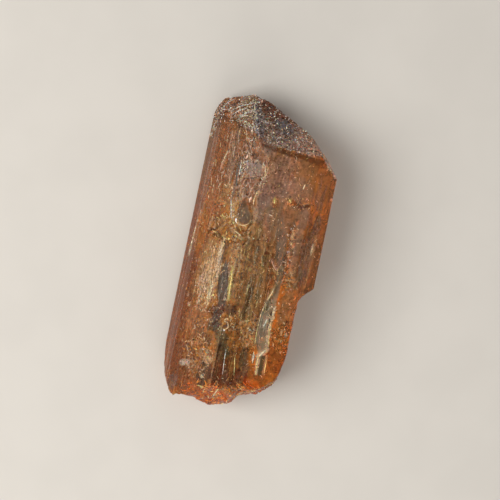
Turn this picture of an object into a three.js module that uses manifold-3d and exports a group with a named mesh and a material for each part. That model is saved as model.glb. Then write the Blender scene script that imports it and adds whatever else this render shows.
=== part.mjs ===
// A loose crystal of imperial topaz, grown as one piece: a striated prism with an etched
// termination at one end and a hackly break at the other.
//
// Frame, in millimetres: +Y runs along the crystal's c axis, from the break to the termination.
// The crystal lies on one of its broad prism faces, which is the plane z = 0. The origin is the
// centre of the bounding box, seen from above, at that plane. While the crystal is being cut, y is
// measured from the lowest point of the break, and x from the middle of the cross-section.
import * as THREE from "three";
import { mergeVertices } from "three/addons/utils/BufferGeometryUtils.js";
import Module from "manifold-3d";

// ---- Driving dimensions ----
const LENGTH = 30; // lowest point of the break to the apex, along c
const BROAD_FACE = [5.76, 5.9]; // widths of the two pairs of (110) prism faces
const NARROW_FACE = [2.3, 2.2]; // widths of the two pairs of (120) prism faces
const AXIAL_RATIO = 0.528; // topaz's a : b, which sets every angle between the prism faces

const STRIA_PITCH = 0.46; // mean spacing of the growth ridges along the prism faces
const STRIA_DEPTH = 0.055; // deepest groove between two ridges
const RIDGE_WEAR = 0.35; // a ridge is worn down by up to this share of a groove's depth

// The termination: the heights where its facets meet the prism's upright edges, and its free corners.
const SHOULDER = { front: 25.3, left: 27.7, farLeft: 27.5, right: 25.5, farRight: 23.6 };
const APEX = [-2.84, LENGTH, 3.09];
const CREST = [-1.15, 29.55, 3.53]; // where the crest bends, on the way from the apex to its right end
const CREST_END = [3.7, 26.7, 6.34];
const LEFT_CORNER = [-5.5, 28.75, 0.9];
const LEFT_BEVEL_TOP = 28.7; // where the left bevel would reach the left edge, above the pyramid face
const RIGHT_BEVEL_BACK = [4.28, 26.1, 4.8];
const REAR_FOOT = { left: [-3.9, 28.2, 0], crest: [-1.9, 28.6, 0], right: [0.6, 27.8, 0] };

// The break at the lower end: its outline across the crystal, as [across, height above the lowest point].
const BREAK_OUTLINE = [
  [-6.4, 4.9], [-6.15, 3.0], [-5.65, 1.75], [-5.05, 0.85], [-4.75, 0.4], [-2.6, 0.45], [-1.95, 0.1],
  [-1.2, -0.1], [-0.25, 0.2], [0.7, 0.3], [1.2, 0.8], [1.5, 1.45], [2.65, 1.65], [3.4, 2.0],
  [3.95, 2.65], [4.5, 2.95], [4.75, 3.6], [4.95, 4.8], [5.3, 6.4],
];
const BREAK_LEAN = THREE.MathUtils.degToRad(10); // the lobes of the outline lean this far from upright
const BREAK_CELL = 0.42; // size of the flat facets that the break is made of
const BREAK_ROUGHNESS = 0.15; // height of the hackles
const BREAK_BEVEL = 0.8; // how far the break is cut back at the crystal's upper side
const BREAK_UNDERCUT = 0.9; // and at its underside
const SCOOP = { across: -0.9, reach: 1.9, depth: 1.3 }; // the deeper hollow in the middle of the bevel

// The step on the +X side, where an outer layer of the crystal has come away from the lower part.
const STEP = { top: 14.1, bottom: 11.5, depth: 1.32, roughness: 0.07, cell: 0.5 };

// The stretches of the upper edge where chips have been struck off, and the size of their facets.
const CHIPPED_EDGES = [
  { bottom: 16.2, top: 24.6, depth: 0.42 },
  { bottom: 8.3, top: 9.7, depth: 0.22 },
];
const CHIP_CELL = 0.45;
const CHIP_ROUGHNESS = 0.2;

const MARGIN = 2; // cutting solids reach at least this far past the crystal
const CUTTER_SIZE = 60;

const smooth = THREE.MathUtils.smoothstep;

// ---- Cross-section ----

/** Angle of the (h k 0) face's normal from +Z towards +X, with (110) facing straight up. */
function faceAngle(h, k) {
  return Math.atan2(k * AXIAL_RATIO, h) - Math.atan2(AXIAL_RATIO, 1);
}

const HALF_OF_THE_FACES = [
  { angle: faceAngle(1, 1), width: BROAD_FACE[0] },
  { angle: faceAngle(1, 2), width: NARROW_FACE[0] },
  { angle: faceAngle(-1, 2), width: NARROW_FACE[1] },
  { angle: faceAngle(-1, 1), width: BROAD_FACE[1] },
];
// Every prism face has a parallel twin on the other side of the crystal.
const PRISM_FACES = [
  ...HALF_OF_THE_FACES,
  ...HALF_OF_THE_FACES.map(({ angle, width }) => ({ angle: angle + Math.PI, width })),
];
const RESTING_FACE = 4; // the twin of (110), which faces straight down

/** Corners of the cross-section as [x, z], clockwise from the upper edge, centred in x, standing on z = 0. */
function sectionCorners() {
  const corners = [[0, 0]];
  for (const { angle, width } of PRISM_FACES.slice(0, -1)) {
    const [x, z] = corners.at(-1);
    corners.push([x + Math.cos(angle) * width, z - Math.sin(angle) * width]);
  }
  const middle = (Math.min(...corners.map(([x]) => x)) + Math.max(...corners.map(([x]) => x))) / 2;
  const lowest = Math.min(...corners.map(([, z]) => z));
  return corners.map(([x, z]) => [x - middle, z - lowest]);
}

/** A repeatable number from 0 to 1 for each whole number. */
function scatter(seed) {
  const value = Math.sin(seed * 127.1 + 311.7) * 43758.5453;
  return value - Math.floor(value);
}

/** The cross-section's outline as [x, z], with every face but the resting one grooved between its ridges. */
function groovedOutline(corners) {
  const outline = [];
  PRISM_FACES.forEach(({ angle, width }, face) => {
    outline.push(corners[face]);
    if (face === RESTING_FACE) return;
    const [x0, z0] = corners[face];
    const [x1, z1] = corners[(face + 1) % corners.length];
    const inward = [-Math.sin(angle), -Math.cos(angle)];
    const steps = 2 * Math.round(width / STRIA_PITCH); // one to each groove and one to each ridge
    for (let i = 1; i < steps; i += 1) {
      const unevenness = (scatter(face * 97 + i) - 0.5) * 0.35;
      const share = (i + unevenness) / steps;
      const isGroove = i % 2 === 1;
      const depth = STRIA_DEPTH * (isGroove ? 1 : RIDGE_WEAR) * scatter(face * 31 + i * 7);
      outline.push([x0 + (x1 - x0) * share + inward[0] * depth, z0 + (z1 - z0) * share + inward[1] * depth]);
    }
  });
  return outline;
}

// ---- Solids ----
const wasm = await Module();
wasm.setup();

/** A closed three.js geometry as a solid that can be cut. */
function solidOf(geometry) {
  const bare = geometry.clone();
  bare.deleteAttribute("normal");
  bare.deleteAttribute("uv");
  const merged = mergeVertices(bare, 1e-4);
  return new wasm.Manifold(
    new wasm.Mesh({
      numProp: 3,
      vertProperties: new Float32Array(merged.attributes.position.array),
      triVerts: new Uint32Array(merged.index.array),
    }),
  );
}

/** A solid as a three.js geometry. */
function geometryOf(solid) {
  const { numProp, numVert, vertProperties, triVerts } = solid.getMesh();
  const positions = new Float32Array(numVert * 3);
  for (let i = 0; i < numVert; i += 1) {
    positions.set(vertProperties.subarray(i * numProp, i * numProp + 3), i * 3);
  }
  const geometry = new THREE.BufferGeometry();
  geometry.setAttribute("position", new THREE.BufferAttribute(positions, 3));
  geometry.setIndex(new THREE.BufferAttribute(new Uint32Array(triVerts), 1));
  geometry.computeVertexNormals();
  return geometry;
}

/** The whole prism, with upright edges sharp and both ends square, from below the break to above the apex. */
function prism(corners) {
  const shape = new THREE.Shape(groovedOutline(corners).map(([x, z]) => new THREE.Vector2(x, z)));
  const geometry = new THREE.ExtrudeGeometry(shape, { depth: LENGTH + 2 * MARGIN, bevelEnabled: false });
  geometry.rotateX(Math.PI / 2); // the extrusion now runs towards -Y
  geometry.translate(0, LENGTH + MARGIN, 0);
  return solidOf(geometry);
}

// ---- Termination ----

/** The space beyond a terminal facet that passes through three points, on the side of the outward hint. */
function beyondFacet(points, outward) {
  const [a, b, c] = points.map((point) => new THREE.Vector3(...point));
  const { normal } = new THREE.Plane().setFromCoplanarPoints(a, b, c);
  if (normal.dot(new THREE.Vector3(...outward)) < 0) normal.negate();
  const box = new THREE.BoxGeometry(CUTTER_SIZE, CUTTER_SIZE, CUTTER_SIZE);
  box.translate(0, 0, CUTTER_SIZE / 2);
  box.applyQuaternion(new THREE.Quaternion().setFromUnitVectors(new THREE.Vector3(0, 0, 1), normal));
  box.translate(a.x, a.y, a.z);
  return solidOf(box);
}

/** The terminal facets, each by three points of its plane, and a rough outward direction. */
function terminalFacets(corners) {
  const [front, right, farRight, , , , farLeft, left] = corners;
  const at = ([x, z], y) => [x, y, z];
  const frontShoulder = at(front, SHOULDER.front);
  return {
    mainPyramidFace: { points: [frontShoulder, APEX, CREST_END], outward: [0, 1, 1] },
    leftPyramidFace: { points: [frontShoulder, at(left, SHOULDER.left), APEX], outward: [-1, 1, 1] },
    leftBevel: {
      points: [at(farLeft, SHOULDER.farLeft), LEFT_CORNER, at(left, LEFT_BEVEL_TOP)],
      outward: [-1, 0.4, 0],
    },
    rearLeftFace: { points: [LEFT_CORNER, APEX, REAR_FOOT.left], outward: [0, 1, -0.4] },
    rearCrestFace: { points: [APEX, CREST, REAR_FOOT.crest], outward: [0.3, 1, -0.4] },
    rearRightFace: { points: [CREST, CREST_END, REAR_FOOT.right], outward: [0.5, 1, -0.3] },
    rightBevel: {
      points: [at(right, SHOULDER.right), at(farRight, SHOULDER.farRight), RIGHT_BEVEL_BACK],
      outward: [1, 1, 0.5],
    },
  };
}

// ---- Breaks and chips ----

/** Hackles: crossing waves with no common period, from -1 to 1. */
function hackle(u, v) {
  return (
    0.45 * Math.sin(2.9 * u + 1.7 * v + 0.6) +
    0.33 * Math.sin(-3.7 * v + 1.9 * u + 2.1) +
    0.22 * Math.sin(6.1 * u - 5.3 * v + 4.4)
  );
}

/** Height of the break's straight-line outline at a position across the crystal. */
function outlineHeight(across) {
  const last = BREAK_OUTLINE.length - 1;
  const next = BREAK_OUTLINE.findIndex(([x]) => x > across);
  if (next === 0) return BREAK_OUTLINE[0][1];
  if (next < 0) return BREAK_OUTLINE[last][1];
  const [x0, y0] = BREAK_OUTLINE[next - 1];
  const [x1, y1] = BREAK_OUTLINE[next];
  return y0 + ((y1 - y0) * (across - x0)) / (x1 - x0);
}

/** Height of the broken surface over the point (x, z) of the cross-section. */
function breakHeight(x, z, thickness) {
  const across = x * Math.cos(BREAK_LEAN) + (z - thickness / 2) * Math.sin(BREAK_LEAN);
  const hollow = SCOOP.depth * Math.exp(-(((across - SCOOP.across) / SCOOP.reach) ** 2));
  const bevel = (BREAK_BEVEL + hollow) * smooth(z, thickness * 0.42, thickness);
  const undercut = BREAK_UNDERCUT * (1 - smooth(z, 0, thickness * 0.3));
  return outlineHeight(across) + bevel + undercut + BREAK_ROUGHNESS * (1 + hackle(x, z));
}

/** The space below the break: a block whose upper side is the broken surface. */
function belowBreak(thickness) {
  const [width, height, depth] = [16, 8, 12];
  const block = new THREE.BoxGeometry(
    width, height, depth, Math.round(width / BREAK_CELL), 1, Math.round(depth / BREAK_CELL),
  );
  block.translate(0, -height, thickness / 2);
  const position = block.attributes.position;
  for (let i = 0; i < position.count; i += 1) {
    const isUpperSide = position.getY(i) > -height;
    if (isUpperSide) position.setY(i, breakHeight(position.getX(i), position.getZ(i), thickness));
  }
  return solidOf(block);
}

/** The layer that has come away from the lower part of the +X side, under a short sloping ledge. */
function missingLayer(corners) {
  const [width, height, depth] = [6, STEP.top + 2 * MARGIN, 12];
  const [edgeX, edgeZ] = corners[2]; // the crystal's outermost edge on the +X side
  const block = new THREE.BoxGeometry(
    width, height, depth, 1, Math.round(height / STEP.cell), Math.round(depth / STEP.cell),
  );
  block.translate(width / 2, STEP.top - height / 2, corners[0][1] / 2);
  const position = block.attributes.position;
  for (let i = 0; i < position.count; i += 1) {
    const [y, z] = [position.getY(i), position.getZ(i)];
    const isInnerSide = position.getX(i) === 0;
    const ledge = smooth(y, STEP.bottom, STEP.top) * (STEP.depth + 0.5);
    const inner = -STEP.depth + ledge + (edgeZ - z) * Math.tan(BREAK_LEAN) + STEP.roughness * hackle(y, z);
    position.setX(i, edgeX + (isInnerSide ? inner : width));
  }
  return solidOf(block);
}

/** A strip of rough chips along the upper edge between the two broad faces, as a solid to take away. */
function chippedEdge([x, z], { bottom, top, depth }) {
  const [width, height, fade, clearance] = [3.2, 2, 0.7, 0.1];
  const length = top - bottom + 2 * fade;
  const block = new THREE.BoxGeometry(
    width, length, height, Math.round(width / CHIP_CELL), Math.round(length / CHIP_CELL), 1,
  );
  block.translate(0, (top + bottom) / 2, height / 2);
  const position = block.attributes.position;
  for (let i = 0; i < position.count; i += 1) {
    if (position.getZ(i) > 0) continue;
    const [u, y] = [position.getX(i), position.getY(i)];
    const presence = smooth(y, bottom - fade, bottom + fade) * (1 - smooth(y, top - fade, top + fade));
    const relief = CHIP_ROUGHNESS * hackle(u * 1.3 + 5, y * 0.7);
    position.setZ(i, clearance - presence * (clearance + depth + relief));
  }
  block.rotateY(-Math.atan(AXIAL_RATIO)); // outwards along the a axis, halfway between the two faces
  block.translate(x, 0, z);
  return solidOf(block);
}

/** The crystal as one solid, moved so that the origin is at its middle. */
function crystalSolid() {
  const corners = sectionCorners();
  const cuts = [
    ...Object.values(terminalFacets(corners)).map(({ points, outward }) => beyondFacet(points, outward)),
    belowBreak(corners[0][1]),
    missingLayer(corners),
    ...CHIPPED_EDGES.map((chips) => chippedEdge(corners[0], chips)),
  ];
  const solid = cuts.reduce((whole, cut) => whole.subtract(cut), prism(corners));
  const { min, max } = solid.boundingBox();
  return solid.translate([-(min[0] + max[0]) / 2, -(min[1] + max[1]) / 2, -min[2]]);
}

const topaz = new THREE.MeshStandardMaterial({
  name: "topaz",
  color: 0xb8693c,
  roughness: 0.35,
  metalness: 0,
  transparent: true,
  opacity: 0.85,
});

const crystal = new THREE.Mesh(geometryOf(crystalSolid()), topaz);
crystal.name = "topaz_crystal";

const part = new THREE.Group();
part.add(crystal);

export default part;
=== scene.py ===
"""Looks of a loose crystal of imperial topaz, lying on one of its broad prism faces.

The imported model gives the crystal's solid. Everything here is made around it, in the same frame: +Y along
the crystal's c axis, +Z up. Shapes are worked out in millimetres and turned into metres when a piece is
placed.

Places on the crystal's upper side are given as (across, along): across is measured at right angles to the
c axis on a plane that leans LEAN_DEG towards -X, and along is y.
"""

from __future__ import annotations

import logging
import math
from dataclasses import KW_ONLY, dataclass, field
from enum import Enum
import bmesh  # noqa: E402
import bpy  # noqa: E402
import numpy as np  # noqa: E402
from bpy.types import Material, Mesh, Node, NodeSocket, NodeTree, Object  # noqa: E402
from mathutils import Matrix, Vector  # noqa: E402
from mathutils.bvhtree import BVHTree  # noqa: E402


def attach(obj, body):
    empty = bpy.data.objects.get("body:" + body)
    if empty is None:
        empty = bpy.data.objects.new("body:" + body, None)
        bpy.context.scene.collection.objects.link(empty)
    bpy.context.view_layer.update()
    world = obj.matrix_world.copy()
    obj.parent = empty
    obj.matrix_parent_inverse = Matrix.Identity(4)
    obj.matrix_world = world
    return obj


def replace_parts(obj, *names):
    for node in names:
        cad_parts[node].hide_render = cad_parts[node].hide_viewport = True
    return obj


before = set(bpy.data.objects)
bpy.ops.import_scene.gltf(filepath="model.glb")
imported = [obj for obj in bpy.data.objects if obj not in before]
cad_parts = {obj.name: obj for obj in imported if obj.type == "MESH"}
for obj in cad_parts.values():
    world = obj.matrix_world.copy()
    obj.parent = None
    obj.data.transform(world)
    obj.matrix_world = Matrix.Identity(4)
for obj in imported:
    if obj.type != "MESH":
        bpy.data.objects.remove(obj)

LOG = logging.getLogger("topaz")
MM = 0.001
NODE = "topaz_crystal"
BODY = "root"
LEAN_DEG = 10.0
LEAN = math.radians(LEAN_DEG)
FRONT = Vector((-math.sin(LEAN), 0.0, math.cos(LEAN)))
ACROSS = Vector((math.cos(LEAN), 0.0, math.sin(LEAN)))
MID_HEIGHT_MM = 3.865
AXIS = (0.0, 1.0, 0.0)
TOPAZ_IOR = 1.62
MIDDLE = 0.5
NOISE_SPAN = (0.3, 0.7)  # nearly all of a noise's numbers lie between these
DARKEST_SHADE = 0.12
MILKY = 0.5
MILKY_SPREAD = (1.0, 0.5, 0.25)
MILKY_MM = 0.15
FAR_MM = 99.0
SPARK_MM = 0.26
EVERYWHERE = "veils"  # a number that is 1 all over the body
SKIN_ATTRIBUTES = ("satin", "streaky", "grainy", "crumbs", "scales", "glints")
NOISES = ("streak", "coarse", "medium", "fine", "fray")
NOTES = (*NOISES, "cut", "tip", "foot", "lump", "lump_pick", "sliver", "sliver_pick")

Colour = tuple[float, float, float]
Range = tuple[float, float]
Place = tuple[float, float]  # across and along


# ---- Node trees ----


class NodeMaker:
    """Writes a node tree, one node to a call."""

    def __init__(self, tree: NodeTree) -> None:
        """Keeps the tree to write to."""
        self.tree = tree

    def add(self, kind: str, settings: dict | None = None, **inputs: object) -> Node:
        """Adds a node.

        Args:
            kind: the node's type, such as "ShaderNodeMath".
            settings: the node's own properties.
            inputs: values or outputs for its sockets, by name with underscores for spaces, or as in0.

        Returns:
            The new node.
        """
        node = self.tree.nodes.new(kind)
        for name, value in (settings or {}).items():
            setattr(node, name, value)
        for name, value in inputs.items():
            key = int(name[2:]) if name[:2] == "in" and name[2:].isdigit() else name.replace("_", " ")
            self.feed(node.inputs[key], value)
        return node

    def feed(self, socket: NodeSocket, value: object) -> None:
        """Links an output to a socket, or sets the socket's own value.

        Args:
            socket: an input.
            value: a node, an output or a plain value.
        """
        if isinstance(value, Node):
            value = value.outputs[0]
        if isinstance(value, NodeSocket):
            self.tree.links.new(value, socket)
        else:
            socket.default_value = value

    def math(self, operation: str, a: object, b: object = 0.0, c: object = 0.0) -> NodeSocket:
        """Adds a Math node.

        Args:
            operation: the node's operation.
            a: its first input.
            b: its second.
            c: its third, for MULTIPLY_ADD.

        Returns:
            The result.
        """
        node = self.add("ShaderNodeMath", {"operation": operation}, in0=a, in1=b)
        if operation == "MULTIPLY_ADD":
            self.feed(node.inputs[2], c)
        return node.outputs[0]

    def product(self, first: object, *others: object) -> NodeSocket:
        """Multiplies numbers.

        Args:
            first: a number or an output.
            others: more of them.

        Returns:
            The product.
        """
        for other in others:
            first = self.math("MULTIPLY", first, other)
        return first

    def between(self, share: object, low: float, high: float) -> NodeSocket:
        """The number that lies a share of the way from low to high."""
        return self.math("MULTIPLY_ADD", share, high - low, low)

    def vector(self, operation: str, a: object, b: object = (0.0, 0.0, 0.0)) -> NodeSocket:
        """The result of a Vector Math node on two vectors."""
        return self.add("ShaderNodeVectorMath", {"operation": operation}, in0=a, in1=b).outputs[0]

    def stretched(self, vector: object, factor: object) -> NodeSocket:
        """Makes a vector longer or shorter.

        Args:
            vector: the vector.
            factor: how many times as long it gets.

        Returns:
            The new vector.
        """
        node = self.add("ShaderNodeVectorMath", {"operation": "SCALE"}, in0=vector)
        self.feed(node.inputs["Scale"], factor)
        return node.outputs[0]

    def step(
        self, value: object, low: object, high: object, start: object = 0.0, end: object = 1.0
    ) -> NodeSocket:
        """Moves a number smoothly from one range to another, and holds it at the ends.

        Args:
            value: the number.
            low: where its range starts.
            high: where its range ends.
            start: the result at low.
            end: the result at high.

        Returns:
            The result.
        """
        node = self.add("ShaderNodeMapRange", {"interpolation_type": "SMOOTHSTEP"}, in0=value)
        for index, limit in enumerate((low, high, start, end), start=1):
            self.feed(node.inputs[index], limit)
        return node.outputs[0]

    def noise(
        self, place: object, scale: object, detail: float = 2.0, roughness: float = 0.5
    ) -> NodeSocket:
        """A Noise Texture's number at a place."""
        node = self.add("ShaderNodeTexNoise", Vector=place, Scale=scale, Detail=detail, Roughness=roughness)
        return node.outputs[0]

    def cells(self, place: object, scale: object) -> tuple[NodeSocket, NodeSocket]:
        """Scatters points through space.

        Args:
            place: the places.
            scale: how close together the points are.

        Returns:
            The distance to the nearest point, and that point's random number.
        """
        node = self.add("ShaderNodeTexVoronoi", {"feature": "F1"}, Vector=place, Scale=scale)
        picks = self.add("ShaderNodeSeparateXYZ", Vector=node.outputs["Color"])
        return node.outputs["Distance"], picks.outputs[0]

    def mix(self, kind: str, share: object, a: object, b: object) -> NodeSocket:
        """Mixes two colours.

        Args:
            kind: the blend type, such as "MIX" or "MULTIPLY".
            share: how much of the second there is.
            a: the first colour.
            b: the second.

        Returns:
            The mixed colour.
        """
        node = self.add("ShaderNodeMix", {"data_type": "RGBA", "blend_type": kind, "clamp_factor": True})
        self.feed(node.inputs["Factor"], share)
        for socket, value in ((node.inputs[6], a), (node.inputs[7], b)):
            self.feed(socket, (*value, 1.0) if isinstance(value, tuple) and len(value) == 3 else value)
        return node.outputs[2]

    def grey(self, value: object) -> NodeSocket:
        """A number as a grey."""
        return self.add("ShaderNodeCombineColor", Red=value, Green=value, Blue=value).outputs[0]

    def scaled(self, colour: object, factor: object) -> NodeSocket:
        """A colour made lighter or darker."""
        return self.mix("MULTIPLY", 1.0, colour, self.grey(factor))


class MaterialTree(NodeMaker):
    """A material's tree, which reads places in millimetres and the piece's own attributes."""

    def __init__(self, name: str) -> None:
        """Starts an empty material.

        Args:
            name: the material's name.
        """
        self.material = bpy.data.materials.new(name)
        self.material.use_nodes = True
        self.material.node_tree.nodes.clear()
        super().__init__(self.material.node_tree)
        coords = self.add("ShaderNodeTexCoord").outputs["Object"]
        self.place = self.add("ShaderNodeMapping", Vector=coords, Scale=(1 / MM,) * 3).outputs[0]

    def drawn(self, stretch: float) -> NodeSocket:
        """Places squeezed along the c axis, so that a pattern on them is drawn out along it."""
        return self.vector("MULTIPLY", self.place, (1.0, 1.0 / stretch, 1.0))

    def attribute(self, name: str) -> NodeSocket:
        """A number that the mesh carries."""
        return self.add("ShaderNodeAttribute", {"attribute_name": name}).outputs["Fac"]

    def colour(self, name: str) -> NodeSocket:
        """A colour that the mesh carries."""
        return self.add("ShaderNodeAttribute", {"attribute_name": name}).outputs["Color"]

    def milky(self, tone: object, rough: object, **inputs: object) -> Node:
        """Adds the shader for grains and threads, which lets a little light in.

        Args:
            tone: the colour.
            rough: the roughness.
            inputs: values for its other sockets.

        Returns:
            The shader.
        """
        return self.add(
            "ShaderNodeBsdfPrincipled",
            Base_Color=tone,
            Roughness=rough,
            IOR=TOPAZ_IOR,
            Subsurface_Weight=MILKY,
            Subsurface_Radius=MILKY_SPREAD,
            Subsurface_Scale=MILKY_MM * MM,
            **inputs,
        )

    def finish(self, surface: object, volume: object | None = None) -> Material:
        """Ends the tree.

        Args:
            surface: the shader.
            volume: the shader of the inside, if any.

        Returns:
            The material.
        """
        output = self.add("ShaderNodeOutputMaterial", Surface=surface)
        if volume is not None:
            self.feed(output.inputs["Volume"], volume)
        return self.material


class ShapeTree(NodeMaker):
    """A Geometry Nodes tree with named inputs, which ends in Realize Instances and Set Material."""

    def __init__(self, name: str) -> None:
        """Starts the tree, with its geometry input and output.

        Args:
            name: the tree's name.
        """
        super().__init__(bpy.data.node_groups.new(name, "GeometryNodeTree"))
        self.identifiers: dict[str, str] = {}
        self.tree.interface.new_socket("Geometry", in_out="OUTPUT", socket_type="NodeSocketGeometry")
        self.tree.interface.new_socket("Geometry", in_out="INPUT", socket_type="NodeSocketGeometry")
        self.source = self.tree.nodes.new("NodeGroupInput")

    @property
    def geometry(self) -> NodeSocket:
        """The geometry that comes in."""
        return self.source.outputs["Geometry"]

    def number(self, name: str, kind: str = "Float") -> NodeSocket:
        """Adds a named input.

        Args:
            name: its name.
            kind: its kind, "Float" or "Int".

        Returns:
            Its output in the tree.
        """
        made = self.tree.interface.new_socket(name, in_out="INPUT", socket_type=f"NodeSocket{kind}")
        self.identifiers[name] = made.identifier
        return self.source.outputs[name]

    def stored(self, geometry: object, domain: str = "POINT", **values: object) -> object:
        """Notes numbers on the geometry.

        Args:
            geometry: what they are noted on.
            domain: what each number belongs to.
            values: the numbers, by name.

        Returns:
            The geometry with its notes.
        """
        for name, value in values.items():
            settings = {"data_type": "FLOAT", "domain": domain}
            geometry = self.add(
                "GeometryNodeStoreNamedAttribute", settings, Geometry=geometry, Name=name, Value=value
            ).outputs[0]
        return geometry

    def noted(self, name: str) -> NodeSocket:
        """A number noted on the geometry."""
        node = self.add("GeometryNodeInputNamedAttribute", {"data_type": "FLOAT"}, Name=name)
        return node.outputs["Attribute"]

    def random(self, low: object, high: object, seed: object) -> NodeSocket:
        """Adds a random number, or a random vector where the limits are vectors.

        Args:
            low: the lower limit.
            high: the upper limit.
            seed: the seed.

        Returns:
            The number or the vector.
        """
        is_vector = isinstance(low, tuple)
        node = self.add("FunctionNodeRandomValue", {"data_type": "FLOAT_VECTOR" if is_vector else "FLOAT"})
        first = 0 if is_vector else 2
        self.feed(node.inputs[first], low)
        self.feed(node.inputs[first + 1], high)
        self.feed(node.inputs["Seed"], seed)
        return node.outputs[0 if is_vector else 1]

    def knock(self, scale: object, size: object, detail: float = 2.0) -> NodeSocket:
        """Makes a shift by noise at each point, to knock a shape out of true.

        Args:
            scale: the noise's scale.
            size: how far it shifts.
            detail: the noise's detail.

        Returns:
            The shift.
        """
        place = self.add("GeometryNodeInputPosition").outputs[0]
        noise = self.add("ShaderNodeTexNoise", Vector=place, Scale=scale, Detail=detail).outputs["Color"]
        return self.stretched(self.vector("SUBTRACT", noise, (MIDDLE,) * 3), size)

    def end(self, geometry: object, material: Material) -> None:
        """Ends the tree.

        Args:
            geometry: the result.
            material: what it is made of.
        """
        realized = self.add("GeometryNodeRealizeInstances", Geometry=geometry)
        dressed = self.add("GeometryNodeSetMaterial", Geometry=realized, Material=material)
        self.add("NodeGroupOutput", Geometry=dressed)

    def apply(self, piece: Object, sizes: dict[str, float]) -> Mesh:
        """Runs the tree on an object.

        Args:
            piece: the object whose mesh goes in. It is removed.
            sizes: a value for each named input.

        Returns:
            The result, as a plain mesh.
        """
        modifier = piece.modifiers.new(self.tree.name, "NODES")
        modifier.node_group = self.tree
        for name, value in sizes.items():
            modifier[self.identifiers[name]] = value
        depsgraph = bpy.context.evaluated_depsgraph_get()
        mesh = bpy.data.meshes.new_from_object(piece.evaluated_get(depsgraph), depsgraph=depsgraph)
        bpy.data.objects.remove(piece)
        return mesh


def in_scene(name: str, data: bpy.types.ID) -> Object:
    """Adds an object to the scene.

    Args:
        name: its name.
        data: its mesh, light or camera.

    Returns:
        The object.
    """
    made = bpy.data.objects.new(name, data)
    bpy.context.scene.collection.objects.link(made)
    return made


def placed(name: str, mesh: Mesh) -> Object:
    """Places a finished piece: its mesh goes from millimetres to metres, and it rides with the crystal.

    Args:
        name: the piece's name.
        mesh: its mesh, in millimetres.

    Returns:
        The piece.
    """
    mesh.name = name
    mesh.transform(Matrix.Scale(MM, 4))
    piece = in_scene(name, mesh)
    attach(piece, BODY)
    LOG.info("%s: %d faces", name, len(mesh.polygons))
    return piece


# ---- Tones and skins ----


class Tone(Enum):
    """Colours that the crystal shows, linear."""

    COPPER = (0.30, 0.060, 0.010)
    RUSSET = (0.60, 0.245, 0.105)
    BROWN = (0.26, 0.115, 0.030)
    DARK_BROWN = (0.17, 0.050, 0.025)
    GINGER = (0.27, 0.095, 0.006)
    ROSE = (0.47, 0.215, 0.125)
    PINK = (0.80, 0.48, 0.35)
    MAUVE = (0.52, 0.40, 0.32)
    HEATHER = (0.60, 0.49, 0.43)
    TAN = (1.00, 0.53, 0.27)
    PEACH = (1.00, 0.60, 0.36)
    BRONZE = (0.58, 0.36, 0.24)
    AMBER = (0.74, 0.40, 0.16)
    GOLD = (0.44, 0.275, 0.120)
    RUST = (0.76, 0.30, 0.050)
    EMBER = (0.50, 0.130, 0.022)
    GLOW = (0.52, 0.215, 0.018)
    FIRE = (1.00, 0.160, 0.000)
    FLAME = (0.90, 0.270, 0.020)
    CREAM = (1.00, 0.68, 0.38)
    YELLOW = (1.00, 0.75, 0.27)
    PALE = (1.00, 0.88, 0.60)
    FROST = (0.84, 0.70, 0.62)
    WHITE = (1.00, 0.93, 0.84)
    ASH = (0.22, 0.265, 0.315)
    SLATE = (0.06, 0.055, 0.040)
    GRAPHITE = (0.24, 0.250, 0.205)
    FLINT = (0.13, 0.100, 0.075)
    STONE = (0.20, 0.155, 0.110)
    WALNUT = (0.17, 0.115, 0.055)
    LILAC = (0.52, 0.345, 0.30)
    TEAL = (0.10, 0.140, 0.080)
    STEEL = (0.40, 0.40, 0.280)
    OLIVE = (0.50, 0.290, 0.120)
    LICHEN = (0.36, 0.300, 0.200)
    MOSS = (0.24, 0.190, 0.075)
    MOSS_DARK = (0.05, 0.024, 0.000)
    UMBER = (0.09, 0.030, 0.008)
    DARK_RED = (0.14, 0.018, 0.008)


def tones(names: str) -> tuple[Tone, ...]:
    """Tones by name, the names divided by spaces."""
    return tuple(Tone[name] for name in names.split())


class Skin(Enum):
    """How the surface is: its roughness, then its streaks, grain, crumbs, scales and glints."""

    GLASSY = (0.06, 0.15, 0.05, 0.0, 0.0, 0.01)
    SMOOTH = (0.12, 0.10, 0.30, 0.0, 0.0, 0.01)
    SATIN = (0.42, 0.05, 0.10, 0.0, 0.0, 0.0)
    STREAKED = (0.18, 0.65, 0.50, 0.02, 0.0, 0.05)
    GRAINY = (0.34, 0.4, 0.70, 0.06, 0.0, 0.15)
    MOTTLED = (0.18, 0.30, 0.55, 0.0, 0.0, 0.03)
    FROSTED = (0.38, 0.10, 1.15, 0.0, 0.04, 1.0)
    SCALY = (0.36, 0.5, 0.70, 0.05, 1.0, 0.2)
    CRUMBLY = (0.48, 0.2, 0.70, 1.0, 0.05, 0.06)
    BROKEN = (0.20, 0.1, 0.45, 0.30, 0.0, 0.02)


@dataclass(frozen=True)
class Pattern:
    """A noise in a material, and how far it sways the tone where a skin's number is 0 and where it is 1."""

    scale: float
    detail: float
    roughness: float
    drawn: float = 1.0
    sway: Range = (0.0, 0.0)

    def value(self, tree: MaterialTree) -> NodeSocket:
        """The noise's number."""
        return tree.noise(tree.drawn(self.drawn), self.scale, self.detail, self.roughness)

    def swayed(self, tree: MaterialTree, value: object, share: object) -> NodeSocket:
        """Lets the noise sway a shade.

        Args:
            tree: the material's tree.
            value: the noise's number.
            share: the skin's number.

        Returns:
            1, plus the swing of the noise about its middle.
        """
        swing = tree.math("SUBTRACT", value, MIDDLE)
        swing = tree.math("MULTIPLY_ADD", swing, tree.between(share, *self.sway), 1.0)
        return tree.math("MAXIMUM", swing, DARKEST_SHADE)


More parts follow.
